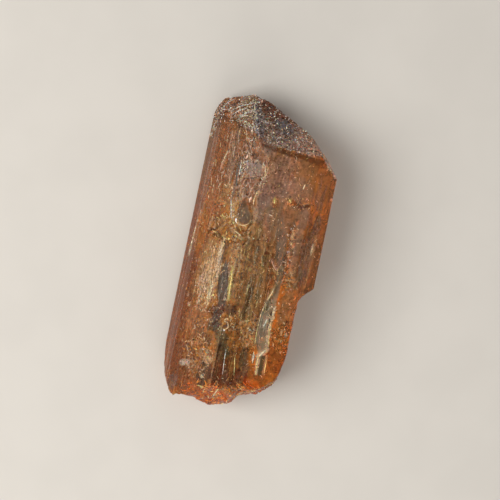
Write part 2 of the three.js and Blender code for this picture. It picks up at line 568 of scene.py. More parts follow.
@dataclass(frozen=True)
class Dots:
    """Round dots at some of the points scattered through a material."""

    scale: float
    edge: Range
    share: Range
    drawn: float = 1.0

    def value(self, tree: MaterialTree, grainy: object) -> NodeSocket:
        """Scatters the dots.

        Args:
            tree: the material's tree.
            grainy: the skin's number that sets how many points have one.

        Returns:
            1 on a dot and 0 off it.
        """
        near, pick = tree.cells(tree.drawn(self.drawn), self.scale)
        chosen = tree.math("LESS_THAN", pick, tree.between(grainy, *self.share))
        return tree.product(tree.step(near, *self.edge, 1.0, 0.0), chosen)


@dataclass(frozen=True)
class TopazFinish:
    """The crystal itself: clear, tinted by its depth, and satin where it is etched."""

    transmission: float = 0.70
    specular: float = 0.25
    reflected: Colour = (1.0, 0.75, 0.50)
    absorbed: Colour = (0.86, 0.50, 0.20)
    density_per_mm: float = 0.16
    subsurface: float = 0.5
    spread: Colour = (1.0, 0.45, 0.2)
    spread_mm: float = 0.5
    coarse: Pattern = Pattern(1.9, 3.0, 0.6, sway=(0.9, 2.2))
    grain: Pattern = Pattern(4.2, 2.0, 0.7, sway=(0.3, 5.0))
    dash: Pattern = Pattern(3.6, 2.0, 0.6, drawn=4.0, sway=(0.4, 2.0))
    streak: Pattern = Pattern(2.2, 4.0, 0.7, drawn=11.0, sway=(0.8, 4.0))
    hair: Pattern = Pattern(2.2, 2.0, 0.5, drawn=30.0)
    hair_width: float = 0.02
    hair_places: Range = (0.42, 0.58)
    hair_strength: float = 0.7
    pits: Dots = Dots(1.5, edge=(0.05, 0.16), share=(0.22, 0.22))
    # painted shade: how much darker the etch pits are painted
    pit_painted_shade: float = 0.8
    # painted highlights: bright sparkle dots, each a lighter copy of the tone mixed with peach
    sparkle_flecks: Dots = Dots(3.1, edge=(0.14, 0.27), share=(0.04, 0.30), drawn=1.8)
    sparkle_gain: float = 2.0
    sparkle_peach: float = 0.3
    sparkle_strength: float = 0.75
    relief_mm: float = 0.10
    grain_relief: Range = (0.04, 1.04)
    streak_relief: Range = (0.05, 0.35)
    pit_relief: float = 0.4
    satin_sway: Range = (0.5, 1.5)

    def material(self) -> Material:
        """Makes the crystal's material.

        Returns:
            The material.
        """
        tree = MaterialTree("topaz")
        satin, streaky, grainy = (tree.attribute(name) for name in SKIN_ATTRIBUTES[:3])
        coarse, grain, dash, streak, hair = (
            pattern.value(tree) for pattern in (self.coarse, self.grain, self.dash, self.streak, self.hair)
        )
        pit, fleck = self.pits.value(tree, grainy), self.sparkle_flecks.value(tree, grainy)

        shade = tree.product(
            self.grain.swayed(tree, grain, grainy),
            self.streak.swayed(tree, streak, streaky),
            self.coarse.swayed(tree, coarse, grainy),
            self.dash.swayed(tree, dash, streaky),
        )
        tone = tree.scaled(tree.colour("tone"), shade)
        off_centre = tree.math("ABSOLUTE", tree.math("SUBTRACT", hair, MIDDLE))
        line = tree.step(off_centre, 0.0, self.hair_width, 1.0, 0.0)
        line = tree.product(line, streaky, tree.step(coarse, *self.hair_places), self.hair_strength)
        tone = tree.mix("MIX", line, tone, Tone.YELLOW.value)
        # painted shade: the etch pits, dented by the bump below, are also painted darker
        tone = tree.scaled(tone, tree.between(pit, 1.0, 1.0 - self.pit_painted_shade))
        # painted highlights: the sparkle dots get the tone made twice as light, then mixed with peach
        pale = tree.scaled(tree.colour("tone"), self.sparkle_gain)
        pale = tree.mix("MIX", self.sparkle_peach, pale, Tone.PEACH.value)
        tone = tree.mix("MIX", tree.product(fleck, self.sparkle_strength), tone, pale)

        grains = tree.product(grain, tree.between(tree.product(grainy, grainy), *self.grain_relief))
        streaks = tree.product(streak, tree.between(streaky, *self.streak_relief))
        height = tree.math("ADD", grains, streaks)
        height = tree.math("SUBTRACT", height, tree.product(pit, self.pit_relief))
        shader = tree.add(
            "ShaderNodeBsdfPrincipled",
            Base_Color=tone,
            Roughness=tree.product(satin, tree.step(grain, *NOISE_SPAN, *self.satin_sway)),
            IOR=TOPAZ_IOR,
            Specular_IOR_Level=self.specular,
            Specular_Tint=(*self.reflected, 1.0),
            Transmission_Weight=self.transmission,
            Subsurface_Weight=self.subsurface,
            Subsurface_Radius=self.spread,
            Subsurface_Scale=self.spread_mm * MM,
            Normal=tree.add("ShaderNodeBump", Height=height, Strength=1.0, Distance=self.relief_mm * MM),
        )
        density = self.density_per_mm / MM
        volume = tree.add("ShaderNodeVolumeAbsorption", Color=(*self.absorbed, 1.0), Density=density)
        return tree.finish(shader, volume)


@dataclass(frozen=True)
class CrumbFinish:
    """Small loose-looking grains on the surface, each with a shade of its own."""

    name: str
    shades: tuple[Tone, ...]
    roughness: float = 0.2
    rougher: float = 0.2
    mottle: Pattern = Pattern(9.0, 2.0, 0.6)
    mottle_shade: Range = (0.6, 1.3)
    relief: float = 0.6
    relief_mm: float = 0.05
    holes: float = 0.0
    patches: Pattern = Pattern(1.3, 5.0, 0.75)
    patch_edge: Range = (-0.04, 0.12)
    most_opaque: float = 0.8
    dots: Pattern = Pattern(6.0, 2.0, 0.6)
    dot_edge: Range = (0.4, 0.6)
    dot_share: Range = (0.2, 1.0)

    def shade(self, tree: MaterialTree) -> NodeSocket:
        """Gives each grain one of a few shades.

        Args:
            tree: the material's tree.

        Returns:
            The shade.
        """
        ramp = tree.add("ShaderNodeValToRGB", Fac=tree.attribute("shade"))
        stops = ramp.color_ramp.elements
        ramp.color_ramp.interpolation = "CONSTANT"
        while len(stops) < len(self.shades):
            stops.new(MIDDLE)
        for index, (stop, shade) in enumerate(zip(stops, self.shades)):
            stop.position = index / len(self.shades)
            stop.color = (*shade.value, 1.0)
        return ramp.outputs[0]

    def cover(self, tree: MaterialTree) -> NodeSocket:
        """Makes the holes of a holed sheet.

        Args:
            tree: the material's tree.

        Returns:
            How much of the sheet is left, from place to place.
        """
        low, high = (self.holes + edge for edge in self.patch_edge)
        patchy = tree.step(self.patches.value(tree), low, high, 0.0, self.most_opaque)
        return tree.product(patchy, tree.step(self.dots.value(tree), *self.dot_edge, *self.dot_share))

    def material(self) -> Material:
        """Makes the grains' material.

        Returns:
            The material.
        """
        tree = MaterialTree(self.name)
        mottle = self.mottle.value(tree)
        bump = tree.add("ShaderNodeBump", Height=mottle, Strength=self.relief, Distance=self.relief_mm * MM)
        shader = tree.milky(
            tree.scaled(self.shade(tree), tree.step(mottle, *NOISE_SPAN, *self.mottle_shade)),
            tree.step(mottle, *NOISE_SPAN, self.roughness, self.roughness + self.rougher),
            Normal=bump,
        )
        if self.holes:
            tree.feed(shader.inputs["Alpha"], self.cover(tree))
        return tree.finish(shader)


@dataclass(frozen=True)
class ThreadFinish:
    """Thin lines on the surface, each with a tone of its own."""

    roughness: float = 0.22
    rougher: float = 0.25
    mottle: Pattern = Pattern(6.0, 2.0, 0.6)
    mottle_shade: Range = (0.35, 1.05)

    def material(self) -> Material:
        """Makes the threads' material.

        Returns:
            The material.
        """
        tree = MaterialTree("thread")
        mottle = self.mottle.value(tree)
        shader = tree.milky(
            tree.scaled(tree.colour("tone"), tree.step(mottle, *NOISE_SPAN, *self.mottle_shade)),
            tree.step(mottle, *NOISE_SPAN, self.roughness, self.roughness + self.rougher),
        )
        return tree.finish(shader)


# ---- Marks on the upper side ----


@dataclass(frozen=True)
class Mark:
    """A part of the upper side that looks different, with soft uneven edges."""

    name: str
    tone: Tone
    skin: Skin = Skin.SMOOTH
    _: KW_ONLY
    strength: float = 0.85
    ragged: float = 0.5
    streaky: float = 0.0
    dent: float = 0.0
    soft: float = 0.4

    def reach(self, across: np.ndarray, along: np.ndarray) -> np.ndarray:
        """How far each place is from the mark's middle, where 1 is its edge."""
        raise NotImplementedError


@dataclass(frozen=True)
class Patch(Mark):
    """An oval mark."""

    _: KW_ONLY
    at: Place
    size: tuple[float, float]
    lean: float = 0.0

    def reach(self, across: np.ndarray, along: np.ndarray) -> np.ndarray:
        """Measures how far places are from the oval's middle.

        Args:
            across: where they are across.
            along: where they are along.

        Returns:
            The distances, where 1 is the oval's edge.
        """
        turn = math.radians(self.lean)
        du, dv = across - self.at[0], along - self.at[1]
        u = (du * math.cos(turn) - dv * math.sin(turn)) / (self.size[0] / 2)
        v = (du * math.sin(turn) + dv * math.cos(turn)) / (self.size[1] / 2)
        return np.sqrt(u * u + v * v)


@dataclass(frozen=True)
class Stroke(Mark):
    """A mark that runs from place to place, with a width at each."""

    _: KW_ONLY
    run: tuple[tuple[float, float, float], ...]

    def reach(self, across: np.ndarray, along: np.ndarray) -> np.ndarray:
        """Measures how far places are from the stroke's middle line.

        Args:
            across: where they are across.
            along: where they are along.

        Returns:
            The distances, where 1 is the stroke's edge.
        """
        nearest = np.full(across.shape, FAR_MM)
        for (u0, v0, w0), (u1, v1, w1) in zip(self.run, self.run[1:]):
            du, dv = u1 - u0, v1 - v0
            share = np.clip(((across - u0) * du + (along - v0) * dv) / (du * du + dv * dv), 0.0, 1.0)
            gap = np.hypot(across - u0 - share * du, along - v0 - share * dv)
            nearest = np.minimum(nearest, gap / ((w0 + (w1 - w0) * share) / 2))
        return nearest


def spark(name: str, across: float, along: float, tone: Tone = Tone.PALE, long: float = 0.4) -> Patch:
    """A small bright spot, longer along the c axis."""
    at, size = (across, along), (SPARK_MM, long)
    return Patch(name, tone, Skin.GLASSY, at=at, size=size, ragged=0.2, strength=1.0)


def crack(name: str, *run: tuple[float, float, float]) -> Stroke:
    """A dark crack, cut into the surface."""
    return Stroke(name, Tone.UMBER, run=run, ragged=0.6, dent=0.1, strength=0.8)


TERMINATION_MARKS: tuple[Mark, ...] = (
    Patch("red-brown crown", Tone.DARK_BROWN, Skin.FROSTED, at=(-0.3, 13.4), size=(4.4, 2.2), lean=30,
        strength=0.9),
    Patch("heather foot of the big face", Tone.HEATHER, Skin.FROSTED, at=(2.0, 11.1), size=(5.0, 1.9),
        lean=12, strength=0.8),
    Patch("left pyramid face", Tone.RUSSET, Skin.FROSTED, at=(-4.9, 13.2), size=(2.8, 2.8), strength=0.7),
    Patch("dark edge of the left face", Tone.DARK_BROWN, Skin.FROSTED, at=(-5.9, 12.4), size=(1.3, 2.4)),
    Patch("rose frost", Tone.ROSE, Skin.FROSTED, at=(-3.2, 13.0), size=(1.7, 2.8), strength=0.8, ragged=0.8),
    Stroke("tip slate, left", Tone.ASH, Skin.FROSTED,
        run=((-2.5, 13.8, 0.7), (-1.9, 12.6, 1.0), (-1.6, 11.1, 0.8)), ragged=0.7),
    Patch("tip slate, right", Tone.ASH, Skin.FROSTED, at=(0.6, 12.3), size=(1.9, 1.3), lean=30, ragged=0.8),
    Stroke("pale crest", Tone.FROST, Skin.SCALY,
        run=((-4.1, 14.4, 0.2), (-2.6, 14.5, 0.25), (-2.0, 14.4, 0.2)), strength=0.7),
    # painted shadow: soft dark lines where the termination's faces meet the prism faces below
    Stroke("main foot line", Tone.UMBER,
        run=((-1.3, 10.2, 0.12), (0.0, 10.0, 0.4), (3.0, 9.8, 0.5), (4.8, 9.7, 0.8)), strength=0.7, soft=1.0),
    Stroke("left foot line", Tone.UMBER, run=((-5.6, 12.2, 0.4), (-4.0, 12.0, 0.5), (-3.3, 11.2, 0.4)),
        strength=0.6, ragged=0.4, soft=0.9),
    Stroke("right shoulder rim", Tone.FROST, Skin.SCALY, run=((5.0, 9.9, 0.3), (6.2, 9.2, 0.35)),
        strength=0.8),
    Stroke("frosted corner", Tone.FROST, Skin.FROSTED,
        run=((5.2, 10.0, 0.45), (5.7, 9.4, 0.5), (6.15, 8.8, 0.45)), ragged=0.8, strength=0.7),
    Stroke("left bevel", Tone.OLIVE, Skin.FROSTED, run=((-6.1, 12.6, 0.5), (-6.2, 10.4, 0.4)), strength=0.3),
    spark("bevel spark", -6.05, 11.1),
    spark("lower bevel spark", -6.15, 10.5),
)

LEFT_MARKS: tuple[Mark, ...] = (
    Patch("left side", Tone.COPPER, at=(-5.6, -1.0), size=(2.6, 27.0), soft=1.1, ragged=0.8),
    Patch("dark upper edge", Tone.BROWN, at=(-6.0, 9.5), size=(1.5, 7.0), strength=0.6),
    Patch("upper left face", Tone.RUSSET, Skin.MOTTLED, at=(-4.6, 6.5), size=(2.6, 12.0), strength=0.7),
    Patch("dusk on the upper left", Tone.DARK_BROWN, Skin.MOTTLED, at=(-3.7, 9.0), size=(5.0, 7.0),
        strength=0.25, soft=1.0),
    Patch("mauve column", Tone.MAUVE, Skin.STREAKED, at=(-3.6, 8.6), size=(0.8, 5.0), streaky=0.5,
        strength=0.5),
    Patch("amber ground by the chips", Tone.AMBER, Skin.MOTTLED, at=(-3.2, 5.2), size=(1.7, 2.4),
        strength=0.6),
    Patch("slate by the chips", Tone.ASH, Skin.STREAKED, at=(-2.9, 7.0), size=(0.4, 4.6), streaky=0.4,
        strength=0.5),
    # painted highlight: a narrow glassy streak of reflected light on the left narrow face
    Stroke("pale streak, left", Tone.PALE, Skin.GLASSY, run=((-5.75, 1.6, 0.12), (-5.85, -1.2, 0.2)),
        ragged=0.2, strength=0.7),
    Stroke("upper pale line", Tone.PINK, Skin.STREAKED, run=((-4.2, 11.0, 0.2), (-4.15, 9.0, 0.12)),
        ragged=0.6),
    Stroke("pink line, left", Tone.PINK, Skin.GRAINY, run=((-4.2, 9.0, 0.15), (-4.6, 7.2, 0.2)), ragged=1.0),
    spark("cream fleck", -3.7, 5.85, Tone.CREAM, 0.2),
    spark("second cream fleck", -3.1, 5.8, Tone.CREAM, 0.2),
    Patch("rust edge glow", Tone.RUST, at=(-5.2, 1.5), size=(1.2, 4.4), strength=0.55),
    Patch("amber glow", Tone.AMBER, at=(-3.6, -1.2), size=(2.2, 4.6), strength=0.8),
    Patch("amber ground of the streaks", Tone.AMBER, Skin.GRAINY, at=(-3.6, -3.4), size=(2.4, 5.0),
        strength=0.7, streaky=0.8),
    Stroke("outer tan streak", Tone.TAN, Skin.GRAINY,
        run=((-4.0, -1.6, 0.3), (-3.98, -3.4, 0.75), (-3.9, -5.9, 0.5)), streaky=0.2, strength=0.8),
    Stroke("middle tan streak", Tone.TAN, Skin.GRAINY,
        run=((-3.6, -0.7, 0.35), (-3.5, -2.4, 0.5), (-3.5, -4.4, 0.3)), streaky=0.15, ragged=0.4,
        strength=0.95),
    Stroke("inner tan streak", Tone.TAN, Skin.GRAINY,
        run=((-3.04, 0.8, 0.3), (-2.85, -0.4, 0.6), (-2.85, -2.7, 0.65), (-3.0, -3.8, 0.6),
             (-3.1, -5.3, 0.35)), streaky=0.1, ragged=0.2, strength=1.0),
    Patch("russet glow below the streaks", Tone.RUSSET, Skin.MOTTLED, at=(-3.7, -7.0), size=(2.4, 3.0),
        strength=0.6),
    spark("lower left fleck", -5.1, -4.9, Tone.PINK, 0.3),
    spark("second lower left fleck", -4.8, -5.8, Tone.CREAM, 0.3),
)

CHIP_MARKS: tuple[Mark, ...] = (
    Patch("chips", Tone.ROSE, Skin.SCALY, at=(-1.6, 7.7), size=(2.3, 6.4), streaky=0.5, strength=0.8),
    Patch("upper chips", Tone.ROSE, Skin.SCALY, at=(-2.5, 10.1), size=(1.5, 3.2), lean=35, ragged=0.8,
        strength=0.55),
    Patch("rose ground in the chips", Tone.ROSE, at=(-1.3, 6.4), size=(1.6, 3.0), ragged=0.6, strength=0.6),
    Patch("heather slab", Tone.HEATHER, at=(-1.5, 7.9), size=(1.7, 1.8), lean=-40, strength=0.95),
    Stroke("long chip edge", Tone.PALE, Skin.SCALY,
        run=((-2.5, 8.4, 0.2), (-2.45, 6.6, 0.25), (-2.4, 4.6, 0.3)), ragged=0.7),
    Stroke("right chip edge", Tone.PINK, Skin.SCALY, run=((-0.45, 8.4, 0.2), (-0.5, 7.5, 0.2)), ragged=0.4,
        strength=0.6),
    Stroke("lower chip edge", Tone.PINK, Skin.SCALY, run=((-0.5, 6.4, 0.12), (-0.8, 5.4, 0.25)), ragged=0.4),
    Stroke("cross chip", Tone.PINK, Skin.SCALY, run=((-1.9, 6.1, 0.14), (-1.1, 7.2, 0.14))),
    spark("chip spark", -2.5, 7.3, Tone.WHITE, 0.4),
    crack("chip crack", (-2.7, 8.8, 0.12), (-2.65, 6.0, 0.2), (-2.3, 4.9, 0.12)),
    crack("second chip crack", (-0.3, 7.8, 0.2), (-0.9, 6.4, 0.12)),
    Patch("lilac column", Tone.LILAC, Skin.STREAKED, at=(0.2, 4.9), size=(1.8, 5.4), strength=0.9,
        streaky=0.5),
    Patch("heather foot of the termination", Tone.HEATHER, at=(-0.5, 9.9), size=(1.6, 1.3), strength=0.7,
        soft=1.0),
    Patch("pit in the chips", Tone.UMBER, Skin.GLASSY, at=(-1.6, 9.0), size=(0.5, 0.5), dent=0.1),
)

UPPER_RIGHT_MARKS: tuple[Mark, ...] = (
    Patch("bronze face", Tone.BRONZE, Skin.MOTTLED, at=(1.6, 7.8), size=(4.2, 4.6), strength=0.9, soft=0.8),
    Patch("golden part", Tone.GOLD, at=(3.3, 8.0), size=(1.9, 4.2), strength=0.8, soft=0.9),
    Patch("olive corner", Tone.OLIVE, at=(5.2, 8.4), size=(1.8, 2.6), strength=0.6, soft=0.8),
    Patch("pink ground beside the lilac column", Tone.PINK, at=(1.2, 5.0), size=(2.2, 5.0), strength=0.3,
        soft=1.0, ragged=0.6),
    Patch("dark corner", Tone.WALNUT, at=(4.6, 9.2), size=(2.6, 1.6), strength=0.35),
    Patch("lichen ground", Tone.LICHEN, at=(2.7, 4.2), size=(3.8, 2.6), strength=0.65, soft=0.8),
    Patch("mauve ground above the lichen", Tone.MAUVE, at=(3.0, 6.5), size=(3.4, 2.4), strength=0.5,
        soft=0.8),
    Patch("amber ground below the brown crack", Tone.AMBER, at=(4.0, 4.2), size=(1.2, 1.5), strength=0.2,
        soft=0.9),
    Patch("amber ground left of the window", Tone.AMBER, at=(-2.0, 4.3), size=(1.1, 1.6), strength=0.16,
        soft=0.9),
    Patch("moss glow", Tone.MOSS, Skin.GLASSY, at=(5.0, 7.0), size=(2.6, 2.2), strength=0.35, soft=1.0),
    Patch("right narrow face", Tone.WALNUT, Skin.STREAKED, at=(5.4, 0.6), size=(2.4, 8.4), soft=0.8,
        strength=1.0),
    Stroke("right rim", Tone.WALNUT, run=((6.15, 8.4, 0.7), (6.05, 4.0, 0.7), (5.95, -2.4, 0.7)),
        strength=0.8, soft=0.8),
    Patch("amber top of the narrow face", Tone.AMBER, Skin.STREAKED, at=(4.9, 6.3), size=(1.8, 2.4),
        strength=0.3, soft=1.0),
    Patch("brown column", Tone.BROWN, at=(4.7, 3.2), size=(0.8, 4.4), strength=0.35),
    # painted highlight: a narrow glassy streak of reflected light on the right narrow face
    Stroke("pale streak, right", Tone.PALE, Skin.GLASSY, run=((5.35, 2.2, 0.12), (5.35, 1.2, 0.12)),
        ragged=0.2),
    # painted glints: two bright gold spots, each in a painted rust glow
    Patch("rust halo", Tone.RUST, Skin.GRAINY, at=(1.1, 5.2), size=(0.6, 1.0), strength=0.6),
    Patch("second rust halo", Tone.RUST, Skin.GRAINY, at=(2.6, 5.5), size=(0.9, 0.7), strength=0.6),
    spark("gold glint", 1.0, 5.45, Tone.YELLOW, 0.5),
    spark("second gold glint", 2.42, 5.7, Tone.YELLOW, 0.35),
    crack("brown crack", (2.9, 5.6, 0.2), (3.5, 5.3, 0.4), (4.3, 5.6, 0.2)),
    spark("edge fleck", 6.2, 6.6, Tone.PINK, 0.3),
)

MIDDLE_MARKS: tuple[Mark, ...] = (
    Patch("olive middle", Tone.OLIVE, Skin.STREAKED, at=(0.5, -1.0), size=(4.4, 11.6)),
    Patch("mauve ground by the column", Tone.MAUVE, at=(0.3, 4.3), size=(1.6, 3.0), strength=0.7, ragged=0.7),
    Patch("amber ground in the olive", Tone.AMBER, Skin.GRAINY, at=(0.1, -0.6), size=(1.8, 2.2),
        strength=0.45),
    Patch("amber grains", Tone.AMBER, Skin.GRAINY, at=(-1.5, 0.0), size=(1.3, 3.6), strength=0.7),
    Patch("rough rust patch", Tone.RUST, Skin.CRUMBLY, at=(-2.6, 1.9), size=(3.4, 2.2), ragged=0.9,
        dent=0.12),
    Patch("rust crest", Tone.RUST, Skin.CRUMBLY, at=(-2.9, 2.5), size=(1.7, 0.8), ragged=0.6),
    Stroke("cream slab", Tone.CREAM, Skin.GRAINY, run=((-2.3, 1.8, 0.3), (-1.2, 1.3, 0.35))),
    crack("left crack", (-4.4, 1.5, 0.3), (-3.8, 1.8, 0.15), (-3.9, 1.2, 0.15), (-3.0, 1.0, 0.2),
        (-2.6, 0.3, 0.25)),
    crack("right crack", (-1.9, 2.2, 0.2), (-1.0, 1.9, 0.15), (-0.6, 3.0, 0.12)),
    Stroke("dark window", Tone.STONE, Skin.SATIN,
        run=((-1.75, 4.7, 0.25), (-1.55, 4.0, 0.75), (-1.4, 3.25, 1.2)), ragged=0.1, strength=1.0, soft=0.3),
    Patch("window top", Tone.UMBER, Skin.SATIN, at=(-1.68, 4.3), size=(0.4, 0.9), ragged=0.2, strength=0.6),
    Stroke("window rim", Tone.CREAM, Skin.GRAINY,
        run=((-2.05, 3.4, 0.12), (-2.1, 2.9, 0.3), (-1.75, 2.55, 0.2), (-1.1, 2.5, 0.12)), ragged=0.2,
        strength=0.95),
    Patch("amber ground by the window", Tone.AMBER, Skin.GRAINY, at=(-2.5, 4.0), size=(0.8, 1.8)),
    Stroke("gold line by the window", Tone.CREAM, Skin.GRAINY, run=((-2.6, 4.4, 0.25), (-2.5, 2.9, 0.2)),
        ragged=0.6),
    Stroke("brown band", Tone.BROWN, Skin.GRAINY, run=((-2.4, 0.6, 0.5), (-2.45, -1.6, 0.6)), streaky=0.3),
    Stroke("slate band", Tone.FLINT,
        run=((-2.15, -1.4, 0.4), (-2.15, -2.4, 1.0), (-1.95, -3.6, 1.1), (-1.75, -4.9, 0.8)), streaky=0.1,
        ragged=0.15, strength=1.0),
    Stroke("yellow line", Tone.YELLOW, run=((-1.5, -1.3, 0.2), (-1.37, -2.5, 0.55), (-1.24, -4.5, 0.2)),
        ragged=0.25, strength=0.95),
    Patch("amber grains by the yellow line", Tone.AMBER, Skin.GRAINY, at=(-0.7, -2.5), size=(1.0, 3.8),
        strength=0.9),
    Patch("amber grains by the lens", Tone.AMBER, Skin.GRAINY, at=(1.2, -6.9), size=(1.9, 3.2), strength=1.0),
    spark("band spark", -1.6, -4.4),
    Stroke("upper moss streak", Tone.MOSS, Skin.STREAKED, run=((0.2, 3.2, 0.3), (0.4, -0.6, 0.5)),
        streaky=0.5, strength=0.5),
    Stroke("lower moss streak", Tone.MOSS, Skin.STREAKED, run=((0.5, -2.2, 0.5), (0.7, -5.8, 0.9)),
        streaky=0.6),
    Stroke("right moss streak", Tone.MOSS, Skin.STREAKED, run=((1.3, 0.2, 0.3), (1.3, -4.0, 0.4)),
        streaky=0.6),
    Stroke("left moss streak", Tone.MOSS, Skin.STREAKED, run=((-0.5, 2.0, 0.4), (-0.6, 0.2, 0.4)),
        streaky=0.5),
    Stroke("brown streak", Tone.BROWN, run=((1.9, 0.4, 0.4), (2.2, -1.6, 0.7), (1.9, -3.4, 0.5)),
        streaky=0.3),
    Stroke("pink line", Tone.PINK, run=((1.85, 0.0, 0.14), (2.7, -1.0, 0.14)), ragged=0.3),
    spark("yellow fleck", 0.1, -1.3, Tone.YELLOW, 0.3),
    Stroke("graphite column", Tone.GRAPHITE,
        run=((2.0, 3.6, 0.7), (2.4, 2.0, 1.1), (2.7, 0.4, 1.0), (2.9, -0.9, 0.6)), strength=0.95, ragged=0.35,
        streaky=0.3),
    Patch("bronze column", Tone.BRONZE, at=(3.9, 2.2), size=(0.9, 6.4), strength=0.9, streaky=0.3),
    Patch("mauve top of the bronze column", Tone.MAUVE, at=(4.0, 4.3), size=(1.0, 1.8), strength=0.9),
    Patch("bronze foot of the column", Tone.BRONZE, at=(4.0, -0.6), size=(1.0, 1.4), strength=0.75),
    crack("cracks between the columns", (3.1, 3.0, 0.2), (3.3, 1.6, 0.1), (3.1, 0.4, 0.25),
        (3.1, -0.4, 0.15)),
    Patch("crumbs between the columns", Tone.BRONZE, Skin.CRUMBLY, at=(3.4, 1.6), size=(0.7, 3.4),
        strength=0.5),
    Patch("red spot", Tone.DARK_RED, at=(1.15, 1.65), size=(0.35, 0.3), dent=0.06),
    Patch("second red spot", Tone.DARK_RED, at=(1.3, 0.5), size=(0.45, 0.3), dent=0.06),
    Stroke("rose fringe", Tone.ROSE, Skin.MOTTLED, run=((0.4, 3.6, 0.3), (0.8, 2.8, 0.5), (1.3, 1.9, 0.3)),
        strength=0.8),
    Patch("gold grains by the lens", Tone.GOLD, Skin.CRUMBLY, at=(4.1, -1.5), size=(2.0, 2.2), strength=0.6,
        ragged=0.9),
    Patch("amber ground below the lilac column", Tone.AMBER, at=(1.0, 3.4), size=(2.2, 2.4), strength=0.3,
        soft=1.0),
)

LENS_MARKS: tuple[Mark, ...] = (
    # painted reflection: the lens is a fracture plane, painted steel grey for the studio light that it
    # reflects; its yellow and pale edges are painted highlights
    Stroke("lens", Tone.STEEL, Skin.GLASSY,
        run=((2.9, -0.6, 0.6), (3.0, -1.9, 0.5), (2.7, -3.6, 0.9), (2.45, -5.2, 1.1), (2.4, -6.6, 1.1),
             (2.55, -7.6, 1.15), (2.7, -8.3, 0.8)), ragged=0.2, streaky=0.1, strength=0.95),
    Stroke("lens, dark core", Tone.TEAL, Skin.GLASSY,
        run=((2.95, -0.9, 0.5), (2.9, -2.2, 0.4), (2.5, -3.9, 0.35), (2.25, -4.9, 0.25)), ragged=0.3,
        streaky=0.3, strength=0.7),
    Stroke("lens left edge", Tone.YELLOW, run=((2.7, -2.3, 0.1), (2.5, -3.2, 0.26), (2.25, -3.8, 0.12)),
        ragged=0.2, strength=1.0),
    Stroke("lens inner light", Tone.PALE, run=((2.65, -5.2, 0.2), (2.55, -5.8, 0.4), (2.42, -6.3, 0.2)),
        ragged=0.2, strength=0.95),
    Stroke("lens right edge", Tone.PALE, Skin.GRAINY,
        run=((3.13, -4.2, 0.14), (3.1, -5.2, 0.22), (2.98, -6.1, 0.2), (3.05, -7.2, 0.25), (3.15, -8.0, 0.3)),
        ragged=0.3, strength=1.0),
    Stroke("lens right slate", Tone.SLATE, Skin.GLASSY, run=((2.9, -4.8, 0.15), (2.8, -6.4, 0.2)),
        ragged=0.3),
    Stroke("lens foot light", Tone.PALE,
        run=((3.2, -8.2, 0.4), (2.65, -8.95, 0.6), (2.56, -9.8, 0.25), (2.67, -10.7, 0.15)), ragged=0.12,
        strength=1.0),
    Stroke("lens foot window", Tone.TEAL, Skin.GLASSY, run=((2.95, -9.1, 0.5), (3.0, -10.5, 0.4)), ragged=0.2,
        strength=0.95),
    Stroke("lens foot line", Tone.CREAM, run=((3.3, -8.8, 0.14), (3.3, -10.6, 0.12)), ragged=0.3),
    spark("lens spark", 2.1, -9.2, Tone.WHITE, 0.6),
    spark("second lens spark", 3.1, -4.8, Tone.WHITE, 0.4),
    Patch("gold right margin", Tone.GOLD, Skin.MOTTLED, at=(4.3, -4.2), size=(1.7, 4.0), strength=0.75),
    Patch("ginger right margin", Tone.GINGER, Skin.MOTTLED, at=(4.3, -10.0), size=(1.8, 4.6), strength=0.45),
    Patch("crumbs of the right margin", Tone.GLOW, Skin.CRUMBLY, at=(4.2, -6.8), size=(1.2, 2.4),
        strength=0.35, ragged=0.9),
    spark("margin spark", 4.2, -6.4, Tone.CREAM, 0.4),
    spark("second margin spark", 4.65, -6.6, Tone.PALE, 0.4),
    Patch("dark dot", Tone.UMBER, at=(4.5, -5.4), size=(0.25, 0.25), ragged=0.2),
)

